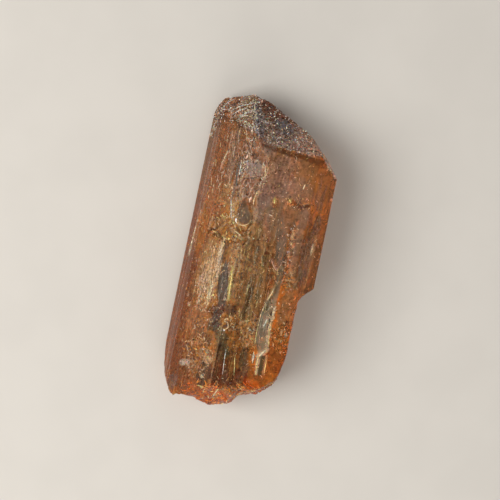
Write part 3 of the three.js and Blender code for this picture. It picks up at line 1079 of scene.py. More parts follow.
FOOT_MARKS: tuple[Mark, ...] = (
    Patch("dark red knot", Tone.DARK_RED, Skin.GRAINY, at=(-2.1, -5.6), size=(1.5, 0.8), lean=-20, ragged=0.9,
        dent=0.15, strength=1.0),
    Patch("green-black hollow", Tone.MOSS_DARK, at=(-2.1, -6.6), size=(0.5, 0.9), lean=20, dent=0.1,
        strength=1.0),
    Stroke("dark hollow below the knot", Tone.MOSS_DARK, Skin.STREAKED,
        run=((-1.8, -5.9, 0.6), (-2.1, -6.6, 1.1), (-2.3, -7.3, 0.8)), ragged=0.8, strength=0.95, soft=0.8),
    Patch("dark foot of the slate band", Tone.UMBER, Skin.GRAINY, at=(-0.9, -5.3), size=(1.2, 1.2),
        strength=0.9),
    spark("ring spark", -1.15, -7.3, Tone.WHITE, 0.25),
    Stroke("teal window", Tone.TEAL, Skin.GLASSY,
        run=((-1.6, -7.3, 0.9), (-1.0, -8.1, 1.2), (-0.6, -9.2, 1.0)), strength=0.8, ragged=0.6, soft=0.6),
    Stroke("left dark window", Tone.MOSS_DARK, Skin.STREAKED,
        run=((-1.2, -8.9, 0.7), (-1.1, -10.0, 1.1), (-1.1, -11.4, 1.1), (-1.0, -12.4, 0.3)), ragged=0.9,
        streaky=0.5, soft=1.2, strength=0.9),
    Stroke("red window", Tone.DARK_RED, Skin.STREAKED, run=((-0.2, -10.0, 0.3), (-0.1, -12.0, 0.5)),
        ragged=0.6, strength=0.6, streaky=0.3),
    Stroke("right dark window", Tone.WALNUT, Skin.STREAKED,
        run=((1.2, -8.8, 0.6), (1.4, -10.4, 1.2), (1.3, -11.6, 0.8)), ragged=0.8, streaky=0.4, soft=1.0,
        strength=0.95),
    Patch("dark foot of the windows", Tone.DARK_RED, Skin.STREAKED, at=(-0.5, -11.4), size=(4.8, 2.0),
        strength=0.92, ragged=0.8, streaky=0.4),
    Patch("amber spot above the break", Tone.AMBER, Skin.MOTTLED, at=(0.5, -12.7), size=(1.8, 1.0),
        strength=0.7),
    Patch("fire ground above the break", Tone.FIRE, Skin.MOTTLED, at=(-1.9, -12.9), size=(3.4, 1.2),
        strength=0.45),
    Stroke("brown streak between the windows", Tone.BROWN, Skin.STREAKED,
        run=((0.2, -9.0, 0.6), (0.4, -11.6, 0.4)), streaky=0.5),
    Patch("rust crumbs, middle", Tone.RUST, Skin.CRUMBLY, at=(0.4, -7.4), size=(1.5, 2.6), lean=25,
        ragged=1.0, strength=0.8),
    Patch("ember foot ground", Tone.EMBER, at=(-3.6, -11.4), size=(4.2, 5.6), strength=0.8, ragged=0.7),
    Patch("crumbly rust patch", Tone.RUST, Skin.CRUMBLY, at=(-3.2, -10.5), size=(2.6, 3.6), ragged=0.9,
        dent=0.15, strength=0.55),
    Patch("brown ground by the windows", Tone.UMBER, Skin.MOTTLED, at=(-2.1, -11.6), size=(1.5, 2.6),
        strength=0.9),
    Patch("brown ground below the crumbs", Tone.DARK_BROWN, Skin.MOTTLED, at=(-4.4, -11.4), size=(2.4, 4.4),
        strength=0.45),
    Patch("cream slab, right", Tone.CREAM, Skin.GRAINY, at=(-1.95, -10.3), size=(0.7, 1.0), strength=0.8),
    Patch("frost slab, left", Tone.FROST, Skin.GRAINY, at=(-4.1, -11.1), size=(1.0, 0.6), lean=-20),
    Patch("upper white flake", Tone.PALE, Skin.GRAINY, at=(-2.2, -9.6), size=(0.4, 0.4), ragged=0.4),
    Patch("lower white flake", Tone.PALE, Skin.GRAINY, at=(-2.2, -11.9), size=(0.3, 0.4), ragged=0.4),
    spark("cream flake", -2.0, -12.9, Tone.CREAM, 0.25),
    Patch("slate facet", Tone.ASH, at=(-4.9, -13.2), size=(0.9, 1.6), lean=20, strength=0.3),
    Stroke("pale foot line", Tone.CREAM, run=((-0.9, -13.7, 0.12), (-0.5, -12.9, 0.18)), ragged=0.3),
    Stroke("fold", Tone.YELLOW, Skin.GRAINY,
        run=((1.25, -13.5, 0.2), (1.7, -13.0, 0.3), (2.7, -12.4, 0.25), (3.85, -11.85, 0.2),
             (4.6, -11.4, 0.12)), ragged=0.6, strength=0.75),
    Patch("fire glow above the break", Tone.FIRE, Skin.MOTTLED, at=(3.1, -12.1), size=(3.4, 1.3),
        strength=0.55, lean=25),
    Stroke("rim of the break", Tone.PALE, Skin.GRAINY, run=((-4.9, -14.4, 0.16), (-3.4, -14.3, 0.14)),
        ragged=0.4),
)

UPPER_MARKS = (  # a mark covers those before it
    LEFT_MARKS + CHIP_MARKS + MIDDLE_MARKS + UPPER_RIGHT_MARKS + LENS_MARKS + FOOT_MARKS + TERMINATION_MARKS
)


# ---- The crystal's body ----


def smooth_step(value: np.ndarray, low: float, high: float) -> np.ndarray:
    """0 below low and 1 above high, smooth between."""
    share = np.clip((value - low) / (high - low), 0.0, 1.0)
    return share * share * (3.0 - 2.0 * share)


CRUMBLY_DEAL = (
    (0.10, Tone.CREAM), (0.40, Tone.GLOW), (0.62, Tone.RUST),
    (0.78, Tone.UMBER), (0.94, Tone.GOLD), (1.1, Tone.YELLOW),
)
SCALY_DEAL = (
    (0.35, Tone.ROSE), (0.5, Tone.SLATE), (0.54, Tone.PALE), (0.85, Tone.RUSSET), (1.1, Tone.MAUVE),
)
STREAKED_DEAL = (
    (0.25, Tone.BRONZE), (0.33, Tone.CREAM), (0.5, Tone.MOSS), (0.8, Tone.AMBER), (1.1, Tone.BROWN),
)


class Painter:
    """Blends tones and skins onto a mesh's points."""

    def __init__(self, count: int, tone: Tone, skin: Skin) -> None:
        """Starts with one tone and one skin all over."""
        self.tone = np.tile(np.array(tone.value), (count, 1))
        self.skin = np.tile(np.array(skin.value), (count, 1))

    def blend(self, weight: np.ndarray, tone: Tone | None = None, skin: Skin | None = None) -> None:
        """Mixes a tone and a skin in.

        Args:
            weight: how much, for each point.
            tone: the tone, if any.
            skin: the skin, if any.
        """
        if tone is not None:
            self.tone += (np.array(tone.value) - self.tone) * weight[:, None]
        if skin is not None:
            self.skin += (np.array(skin.value) - self.skin) * weight[:, None]

    def deal(self, weight: np.ndarray, pick: np.ndarray, deal: tuple[tuple[float, Tone], ...]) -> None:
        """Mixes in one of several tones by a random number.

        Args:
            weight: how much, for each point.
            pick: the random number, for each point.
            deal: the tones, each with the number that it stays below.
        """
        low = 0.0
        for high, tone in deal:
            self.blend(weight * ((pick >= low) & (pick < high)), tone)
            low = high

    def darken(self, share: np.ndarray) -> None:
        """Takes a share of the light off each point."""
        self.tone *= (1.0 - share)[:, None]

    def write(self, mesh: Mesh) -> None:
        """Writes the tones and skins to the mesh's attributes.

        Args:
            mesh: the mesh.
        """
        colours = np.concatenate([self.tone, np.ones((len(self.tone), 1))], axis=1).astype(np.float32)
        mesh.attributes.new("tone", "FLOAT_COLOR", "POINT").data.foreach_set("color", colours.ravel())
        for name, values in zip((EVERYWHERE, *SKIN_ATTRIBUTES), (np.ones(len(self.tone)), *self.skin.T)):
            mesh.attributes.new(name, "FLOAT", "POINT").data.foreach_set("value", values.astype(np.float32))


@dataclass(frozen=True)
class Wear:
    """How the skins and the relief's noises shape and shade the surface, with shade painted into its cuts and
    between its lumps.
    """

    facing: Range = (-0.10, 0.10)
    foot_turned_away: float = 0.25
    ground_edge: Range = (-0.1, 0.1)
    far_glow: float = 0.7
    near_brown: float = 0.8
    olive_edge: Range = (0.2, 0.35)
    olive: float = 0.7
    crumbly_edge: Range = (0.22, 0.32)
    crumbly: float = 0.7
    frosted_tip: float = 0.95
    medium_fray: float = 1.0
    long_fray: float = 2.4
    fine_fray: float = 0.5
    streaky_fray: float = 3.0
    uneven_dent: float = 3.0
    worn_from: Range = (0.12, 0.25)
    worn_to: Range = (0.65, 0.8)
    worn_satin: float = 0.75
    lump_tones: float = 0.55
    sliver_tones: float = 0.7
    streak_tones: float = 0.35
    streak_edge: Range = (0.3, 0.9)
    # painted shade: how much darker the crevices between the lumps are painted
    lump_painted_shade: float = 0.3
    lump_painted_shade_edge: Range = (0.25, 0.6)
    lump_mm: float = 0.07
    lump_edge: Range = (0.1, 0.7)
    lump_step_mm: float = 0.08
    sliver_mm: float = 0.05
    sliver_edge: Range = (0.1, 0.6)
    sliver_step_mm: float = 0.08
    # painted shade: how much darker the deepest cuts of the relief are painted
    cut_painted_shade: float = 0.2
    cut_edge_mm: Range = (0.04, 0.14)


@dataclass(frozen=True)
class Relief:
    """Where each kind of relief lies, and how its noise is drawn."""

    tip_lean: Range = (0.3, 0.55)
    side_lean: Range = (0.25, 0.5)
    foot_lean: Range = (-0.5, -0.25)
    foot_height_mm: Range = (-8.0, -6.0)
    seed_step_mm: float = 13.7
    ridge_squeeze: float = 0.045
    sliver_squeeze: float = 0.15
    fray_squeeze: float = 0.22
    groove_edge: Range = (0.42, 0.68)
    pit_width: float = 0.75
    rubble_rate: float = 1.6
    shard_share: float = 0.6
    wear_edge: Range = (0.4, 0.75)
    wear_mm: float = 0.02
    # Each noise has its scale, detail and roughness. The last has no scale of its own.
    coarse: tuple[float, ...] = (0.55, 2.0)
    medium: tuple[float, ...] = (1.7, 3.0, 0.6)
    fine: tuple[float, ...] = (4.5, 2.0, 0.6)
    fray: tuple[float, ...] = (2.6, 3.0, 0.65)
    uneven: tuple[float, ...] = (3.0, 0.6)


@dataclass
class Crystal:
    """The crystal's body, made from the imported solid."""

    voxel_mm: float = 0.112
    doubles_mm: float = 0.0002
    sizes: dict[str, float] = field(
        default_factory=lambda: {
            "Ridge Pitch": 0.42,
            "Ridge Depth": 0.025,
            "Etch Grain": 0.40,
            "Etch Depth": 0.10,
            "Hackle Size": 0.9,
            "Hackle Depth": 0.30,
            "Lumps Per Mm": 2.2,
            "Slivers Per Mm": 2.4,
            "Seed": 7,
        }
    )
    relief: Relief = Relief()
    wear: Wear = Wear()
    marks: tuple[Mark, ...] = UPPER_MARKS

    def even_copy(self, source: Object) -> Object:
        """Makes a closed, evenly divided copy of the solid.

        Args:
            source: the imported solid.

        Returns:
            The copy, in millimetres.
        """
        mesh = source.data.copy()
        mesh.materials.clear()
        work = bmesh.new()
        work.from_mesh(mesh)
        bmesh.ops.remove_doubles(work, verts=work.verts, dist=self.doubles_mm * MM)
        bmesh.ops.scale(work, vec=Vector((1 / MM,) * 3), verts=work.verts)
        work.to_mesh(mesh)
        work.free()
        rough = in_scene("body_in_mm", mesh)
        remesh = rough.modifiers.new("even", "REMESH")
        remesh.mode = "VOXEL"
        remesh.voxel_size = self.voxel_mm
        return rough

    def relief_tree(self, material: Material) -> ShapeTree:
        """Makes the tree that cuts growth ridges, etch pits and hackles into the body.

        Args:
            material: the crystal's material.

        Returns:
            The tree.
        """
        tree, own = ShapeTree("crystal_relief"), self.relief
        pitch, ridge = tree.number("Ridge Pitch"), tree.number("Ridge Depth")
        grain, etch = tree.number("Etch Grain"), tree.number("Etch Depth")
        size, hackle = tree.number("Hackle Size"), tree.number("Hackle Depth")
        seed = tree.number("Seed", "Int")
        place = tree.add("GeometryNodeInputPosition").outputs[0]
        normal = tree.add("GeometryNodeInputNormal").outputs[0]
        shift = tree.add("ShaderNodeCombineXYZ", X=tree.math("MULTIPLY", seed, own.seed_step_mm))
        shifted = tree.vector("ADD", place, shift)

        def squeezed(factor: float) -> NodeSocket:
            """Places squeezed along the c axis, so that a pattern on them is drawn out along it."""
            return tree.vector("MULTIPLY", shifted, (1.0, factor, 1.0))

        lean = tree.add("ShaderNodeSeparateXYZ", Vector=normal).outputs["Y"]
        along = tree.add("ShaderNodeSeparateXYZ", Vector=place).outputs["Y"]
        tip = tree.step(lean, *own.tip_lean)
        side = tree.step(tree.math("ABSOLUTE", lean), *own.side_lean, 1.0, 0.0)
        foot = tree.product(
            tree.step(lean, *own.foot_lean, 1.0, 0.0), tree.step(along, *own.foot_height_mm, 1.0, 0.0)
        )
        coarse = tree.noise(shifted, *own.coarse)
        medium = tree.noise(shifted, *own.medium)
        fine = tree.noise(shifted, *own.fine)
        fray = tree.noise(squeezed(own.fray_squeeze), *own.fray)
        streak = tree.noise(squeezed(own.ridge_squeeze), tree.math("DIVIDE", 1.0, pitch), *own.uneven)
        lump, lump_pick = tree.cells(shifted, tree.number("Lumps Per Mm"))
        sliver, sliver_pick = tree.cells(squeezed(own.sliver_squeeze), tree.number("Slivers Per Mm"))

        grooves = tree.product(tree.step(streak, *own.groove_edge), tree.product(ridge, side))
        hollow, _ = tree.cells(shifted, tree.math("DIVIDE", 1.0, grain))
        pits = tree.product(tree.step(hollow, 0.0, own.pit_width, 1.0, 0.0), tree.product(etch, tip))
        shard, _ = tree.cells(shifted, tree.math("DIVIDE", 1.0, size))
        rubble = tree.noise(shifted, tree.math("DIVIDE", own.rubble_rate, size), *own.uneven)
        cracked = tree.math("MULTIPLY_ADD", shard, own.shard_share, rubble)
        hackles = tree.product(cracked, tree.product(hackle, foot))
        worn = tree.product(tree.step(fine, *own.wear_edge), own.wear_mm)
        depth = tree.math("ADD", tree.math("ADD", grooves, pits), tree.math("ADD", hackles, worn))
        noted = tree.stored(
            tree.geometry,
            streak=streak, coarse=coarse, medium=medium, fine=fine, fray=fray, cut=depth, tip=tip, foot=foot,
            lump=lump, lump_pick=lump_pick, sliver=sliver, sliver_pick=sliver_pick,
        )
        offset = tree.stretched(normal, tree.product(depth, -1.0))
        moved = tree.add("GeometryNodeSetPosition", Geometry=noted, Offset=offset)
        tree.end(tree.add("GeometryNodeSetShadeSmooth", Geometry=moved), material)
        return tree

    def taken_notes(self, mesh: Mesh) -> dict[str, np.ndarray]:
        """Takes the numbers that the tree noted off the mesh.

        Args:
            mesh: the mesh.

        Returns:
            The numbers by name, the noises among them moved to swing about 0.
        """
        notes: dict[str, np.ndarray] = {}
        for name in NOTES:
            notes[name] = np.zeros(len(mesh.vertices), np.float32)
            mesh.attributes[name].data.foreach_get("value", notes[name])
            mesh.attributes.remove(mesh.attributes[name])
        for name in NOISES:
            notes[name] = notes[name] - MIDDLE
        return notes

    def ground(self, count: int, facing: np.ndarray, notes: dict[str, np.ndarray]) -> Painter:
        """Lays the tones and skins under the marks.

        Args:
            count: how many points there are.
            facing: how far each faces the front.
            notes: the tree's numbers.

        Returns:
            The painter.
        """
        own, painter = self.wear, Painter(count, Tone.RUST, Skin.SMOOTH)
        coarse, medium = notes["coarse"], notes["medium"]
        painter.blend(smooth_step(coarse, *own.ground_edge) * own.far_glow * (1.0 - facing), Tone.GLOW)
        painter.blend(smooth_step(coarse, *own.ground_edge) * own.near_brown * facing, Tone.BROWN)
        olive = smooth_step(medium + notes["streak"], *own.olive_edge) * own.olive
        painter.blend(olive, Tone.OLIVE, Skin.STREAKED)
        crumbly = smooth_step(medium - coarse, *own.crumbly_edge) * own.crumbly
        painter.blend(crumbly, Tone.GLOW, Skin.CRUMBLY)
        painter.blend(notes["tip"] * own.frosted_tip, Tone.MAUVE, Skin.FROSTED)
        painter.blend(notes["foot"], Tone.FIRE, Skin.BROKEN)
        return painter

    def mark_weight(
        self, mark: Mark, reach: np.ndarray, facing: np.ndarray, notes: dict[str, np.ndarray]
    ) -> np.ndarray:
        """Works out how strongly a mark shows, with its edge frayed by the noises.

        Args:
            mark: the mark.
            reach: each point's distance, where 1 is its edge.
            facing: how far each point faces the front.
            notes: the tree's numbers.

        Returns:
            A weight for each point.
        """
        own = self.wear
        reach = reach + (notes["medium"] * own.medium_fray + notes["fray"] * own.long_fray) * mark.ragged
        lines, dots = notes["streak"] * own.streaky_fray, notes["fine"] * own.fine_fray
        reach += lines * mark.streaky + dots * mark.ragged
        inside = 1.0 - smooth_step(reach, 1.0 - mark.soft / 2, 1.0 + mark.soft / 2)
        return inside * facing * mark.strength

    def paint(self, mesh: Mesh) -> None:
        """Gives each point its tone and its skin, and dents the marks that lie deeper.

        Args:
            mesh: the body's mesh.
        """
        own, count = self.wear, len(mesh.vertices)
        place, normal = np.zeros(count * 3, np.float32), np.zeros(count * 3, np.float32)
        mesh.vertices.foreach_get("co", place)
        mesh.vertices.foreach_get("normal", normal)
        place, normal = place.reshape(-1, 3), normal.reshape(-1, 3)
        notes = self.taken_notes(mesh)
        across = place[:, 0] * ACROSS.x + (place[:, 2] - MID_HEIGHT_MM) * ACROSS.z
        along = place[:, 1]
        facing = smooth_step(normal @ np.array(FRONT) - own.foot_turned_away * notes["foot"], *own.facing)

        painter = self.ground(count, facing, notes)
        depth = np.zeros(count)
        for mark in self.marks:
            weight = self.mark_weight(mark, mark.reach(across, along), facing, notes)
            painter.blend(weight, mark.tone, mark.skin)
            depth += weight * mark.dent * (1.0 + own.uneven_dent * notes["fine"])
            LOG.debug("mark %s: %d points", mark.name, np.count_nonzero(weight))
        slope = -normal[:, 0]
        worn = smooth_step(slope, *own.worn_from) * (1.0 - smooth_step(slope, *own.worn_to))
        painter.skin[:, 0] += (own.worn_satin - painter.skin[:, 0]) * worn

        _, streaky, _, crumbly, scaly, _ = painter.skin.T.copy()
        lump, sliver = notes["lump"], notes["sliver"]
        painter.deal(crumbly * own.lump_tones, notes["lump_pick"], CRUMBLY_DEAL)
        painter.deal(scaly * own.sliver_tones, notes["sliver_pick"], SCALY_DEAL)
        streaked = smooth_step(streaky, *own.streak_edge) * (1 - crumbly) * own.streak_tones
        painter.deal(streaked, notes["sliver_pick"], STREAKED_DEAL)
        # painted shade: darker in the dented crevices between the lumps
        painter.darken(own.lump_painted_shade * crumbly * smooth_step(lump, *own.lump_painted_shade_edge))
        lumps = own.lump_mm * smooth_step(lump, *own.lump_edge)
        slivers = own.sliver_mm * smooth_step(sliver, *own.sliver_edge)
        depth += crumbly * (lumps + own.lump_step_mm * notes["lump_pick"])
        depth += scaly * (slivers + own.sliver_step_mm * notes["sliver_pick"])
        place -= normal * depth[:, None]
        # painted shade: darker where the relief is cut deepest, in grooves, etch pits and hackles
        painter.darken(own.cut_painted_shade * smooth_step(notes["cut"], *own.cut_edge_mm))
        mesh.vertices.foreach_set("co", place.ravel())
        painter.write(mesh)

    def build(self, source: Object, material: Material) -> Mesh:
        """Makes the body's mesh, in millimetres.

        Args:
            source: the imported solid.
            material: the crystal's material.

        Returns:
            The mesh, painted.
        """
        mesh = self.relief_tree(material).apply(self.even_copy(source), self.sizes)
        self.paint(mesh)
        return mesh


class Form(Enum):
    """What a strewn piece is made from: its local Y runs along the c axis, and Z stands off the surface."""

    GRAIN = "grain"
    ROD = "rod"
    SHEET = "sheet"


class Draw(Enum):
    """The seeds of what is drawn at random for each strewn thing."""

    TILT = 2
    SIZE = 3
    WIDTH = 4
    SHADE = 5
    DEPTH = 6


@dataclass
class Strewn:
    """Small things strewn on the body or sealed in it, where one of its skin's numbers asks for them."""

    name: str
    form: Form
    where: str
    finish: CrumbFinish
    per_mm2: float
    size_mm: float
    length: float
    flatness: float
    tilt_deg: float
    depth_mm: Range
    seed: int
    knock: float = 1.6
    knock_size: float = 0.6
    sealed: bool = False
    gap_mm: float = 0.06
    slack_mm: float = 0.12
    above_floor_mm: float = 0.3
    size_spread: Range = (0.45, 1.65)
    size_power: float = 2.0
    width_spread: Range = (0.6, 1.1)
    rod_sides: int = 6
    rod_parts: int = 5
    sheet_points: int = 9

    def unit(self, tree: ShapeTree) -> NodeSocket:
        """Makes the one shape that is strewn.

        Args:
            tree: the tree to make it in.

        Returns:
            The shape, about 1 mm in radius.
        """
        if self.form is Form.ROD:
            sides, parts, turn = self.rod_sides, self.rod_parts, (math.pi / 2, 0.0, 0.0)
            rod = tree.add(
                "GeometryNodeMeshCylinder", Vertices=sides, Side_Segments=parts, Radius=1.0, Depth=2.0
            ).outputs["Mesh"]
            return tree.add("GeometryNodeTransform", Geometry=rod, Rotation=turn).outputs[0]
        if self.form is Form.SHEET:
            n = self.sheet_points
            sheet = tree.add("GeometryNodeMeshGrid", Size_X=2.0, Size_Y=2.0, Vertices_X=n, Vertices_Y=n)
            return sheet.outputs[0]
        return tree.add("GeometryNodeMeshIcoSphere", Radius=1.0, Subdivisions=1).outputs[0]

    def tree(self, material: Material) -> ShapeTree:
        """Makes the tree that strews them.

        Args:
            material: what they are made of.

        Returns:
            The tree.
        """
        tree = ShapeTree(self.name)
        per_mm2, size, length = tree.number("Per Square Mm"), tree.number("Size"), tree.number("Length")
        flat, tilt = tree.number("Flatness"), tree.number("Tilt")
        least, most = tree.number("Least Depth"), tree.number("Most Depth")
        knock, seed = tree.number("Knock"), tree.number("Seed", "Int")
        place = tree.add("GeometryNodeInputPosition").outputs[0]
        above = tree.add("ShaderNodeSeparateXYZ", Vector=place).outputs["Z"]
        is_clear = tree.math("GREATER_THAN", above, self.above_floor_mm)
        wanted = tree.product(per_mm2, tree.step(tree.noted(self.where), 0.0, 1.0), is_clear)
        points = tree.add(
            "GeometryNodeDistributePointsOnFaces",
            {"distribute_method": "RANDOM"},
            Mesh=tree.geometry,
            Density=wanted,
            Seed=seed,
        )
        along_axis = tree.add(
            "FunctionNodeAlignRotationToVector",
            {"axis": "Y", "pivot_axis": "Z"},
            Rotation=points.outputs["Rotation"],
            Vector=AXIS,
        )
        angle = tree.stretched(tree.random((-1.0,) * 3, (1.0,) * 3, Draw.TILT.value), tilt)
        turn = tree.add("FunctionNodeEulerToRotation", Euler=angle)
        spread = tree.math("POWER", tree.random(0.0, 1.0, Draw.SIZE.value), self.size_power)
        own = tree.product(size, tree.between(spread, *self.size_spread))
        shape = tree.add(
            "ShaderNodeCombineXYZ",
            X=tree.product(own, tree.random(*self.width_spread, Draw.WIDTH.value)),
            Y=tree.product(own, length),
            Z=tree.product(own, flat),
        )
        strewn = tree.add(
            "GeometryNodeInstanceOnPoints",
            Points=points.outputs["Points"],
            Instance=self.unit(tree),
            Rotation=along_axis,
            Scale=shape,
        )
        depth = tree.random(least, most, Draw.DEPTH.value)
        sink = tree.add("ShaderNodeCombineXYZ", Z=tree.product(depth, -1.0))
        lowered = tree.add("GeometryNodeTranslateInstances", Instances=strewn, Translation=sink)
        tilted = tree.add("GeometryNodeRotateInstances", Instances=lowered, Rotation=turn)
        shaded = tree.stored(tilted.outputs[0], "INSTANCE", shade=tree.random(0.0, 1.0, Draw.SHADE.value))
        realized = tree.add("GeometryNodeRealizeInstances", Geometry=shaded)
        scale = tree.math("DIVIDE", self.knock_size, size)
        shift = tree.knock(scale, tree.product(size, knock), detail=1.0)
        uneven = tree.add("GeometryNodeSetPosition", Geometry=realized, Offset=shift)
        is_smooth = self.form is not Form.GRAIN
        tree.end(tree.add("GeometryNodeSetShadeSmooth", Geometry=uneven, Shade_Smooth=is_smooth), material)
        return tree

    def seal(self, mesh: Mesh, body: Mesh) -> None:
        """Leaves out each thing that reaches outside the body, and moves the rest to just inside.

        Args:
            mesh: the strewn things.
            body: the body's mesh.
        """
        shell, work = bmesh.new(), bmesh.new()
        shell.from_mesh(body)
        work.from_mesh(mesh)
        skin = BVHTree.FromBMesh(shell)
        out: set[bmesh.types.BMVert] = set()
        for vertex in work.verts:
            nearest, normal, _, _ = skin.find_nearest(vertex.co)
            height = (vertex.co - nearest).dot(normal)
            if height > self.slack_mm:
                out.add(vertex)
            elif height > -self.gap_mm:
                vertex.co = nearest - normal * self.gap_mm
        reached = list(out)
        while reached:
            for edge in reached.pop().link_edges:
                for vertex in edge.verts:
                    if vertex not in out:
                        out.add(vertex)
                        reached.append(vertex)
        bmesh.ops.delete(work, geom=list(out), context="VERTS")
        work.to_mesh(mesh)
        work.free()
        shell.free()

    def build(self, body: Mesh) -> Mesh:
        """Makes them all.

        Args:
            body: the body's mesh.

        Returns:
            One mesh, in millimetres.
        """
        sizes = {
            "Per Square Mm": self.per_mm2,
            "Size": self.size_mm,
            "Length": self.length,
            "Flatness": self.flatness,
            "Tilt": math.radians(self.tilt_deg),
            "Least Depth": self.depth_mm[0],
            "Most Depth": self.depth_mm[1],
            "Knock": self.knock,
            "Seed": self.seed,
        }
        mesh = self.tree(self.finish.material()).apply(in_scene(self.name, body.copy()), sizes)
        if self.sealed:
            self.seal(mesh, body)
        return mesh


STREWN = (
    Strewn(
        name="crumbs", form=Form.GRAIN, where="crumbs", per_mm2=3.0, size_mm=0.10, length=1.0, flatness=0.8,
        tilt_deg=180, depth_mm=(0.02, 0.04), seed=11,
        finish=CrumbFinish("crumb", tones("GLOW UMBER RUST GLOW YELLOW BROWN RUST")),
    ),
    Strewn(
        name="scales", form=Form.GRAIN, where="scales", per_mm2=3.0, size_mm=0.08, length=3.2, flatness=0.25,
        tilt_deg=25, depth_mm=(0.0, 0.04), seed=12,
        finish=CrumbFinish("scale", tones("PINK UMBER ROSE BROWN RUSSET ROSE")),
    ),
    Strewn(
        name="glints", form=Form.GRAIN, where="glints", per_mm2=12.0, size_mm=0.055, length=1.3, flatness=0.5,
        tilt_deg=60, depth_mm=(0.0, 0.02), seed=13,
        finish=CrumbFinish("glint", tones("WHITE FROST PALE PINK")),
    ),
    Strewn(
        name="growth_tubes", form=Form.ROD, where="streaky", per_mm2=0.6, size_mm=0.06, length=26.0,
        flatness=0.7, tilt_deg=1.5, depth_mm=(0.12, 1.5), seed=14, knock=0.6, sealed=True,
        finish=CrumbFinish("tube", tones("YELLOW CREAM GLOW PALE")),
    ),
    Strewn(
        name="veils", form=Form.SHEET, where=EVERYWHERE, per_mm2=0.05, size_mm=1.0, length=1.8, flatness=1.0,
        tilt_deg=50, depth_mm=(0.6, 2.4), seed=15, knock=0.9, sealed=True,
        finish=CrumbFinish("veil", tones("CREAM PALE YELLOW GLOW"), holes=0.5),
    ),
)


# ---- Threads on the upper side ----


@dataclass(frozen=True)
class Thread:
    """A thin line: the bright edge of a crack, a scratch, a dark crack, or a painted highlight or glint."""

    tone: Tone
    width: float
    run: tuple[Place, ...]


@dataclass(frozen=True)
class Tangle:
    """Short threads dealt at random over an oval."""

    tones: tuple[Tone, ...]
    at: Place
    size: tuple[float, float]
    count: int
    length: float
    lean: float = 0.0
    spread: float = 90.0
    width: float = 0.07
    curl: float = 0.35


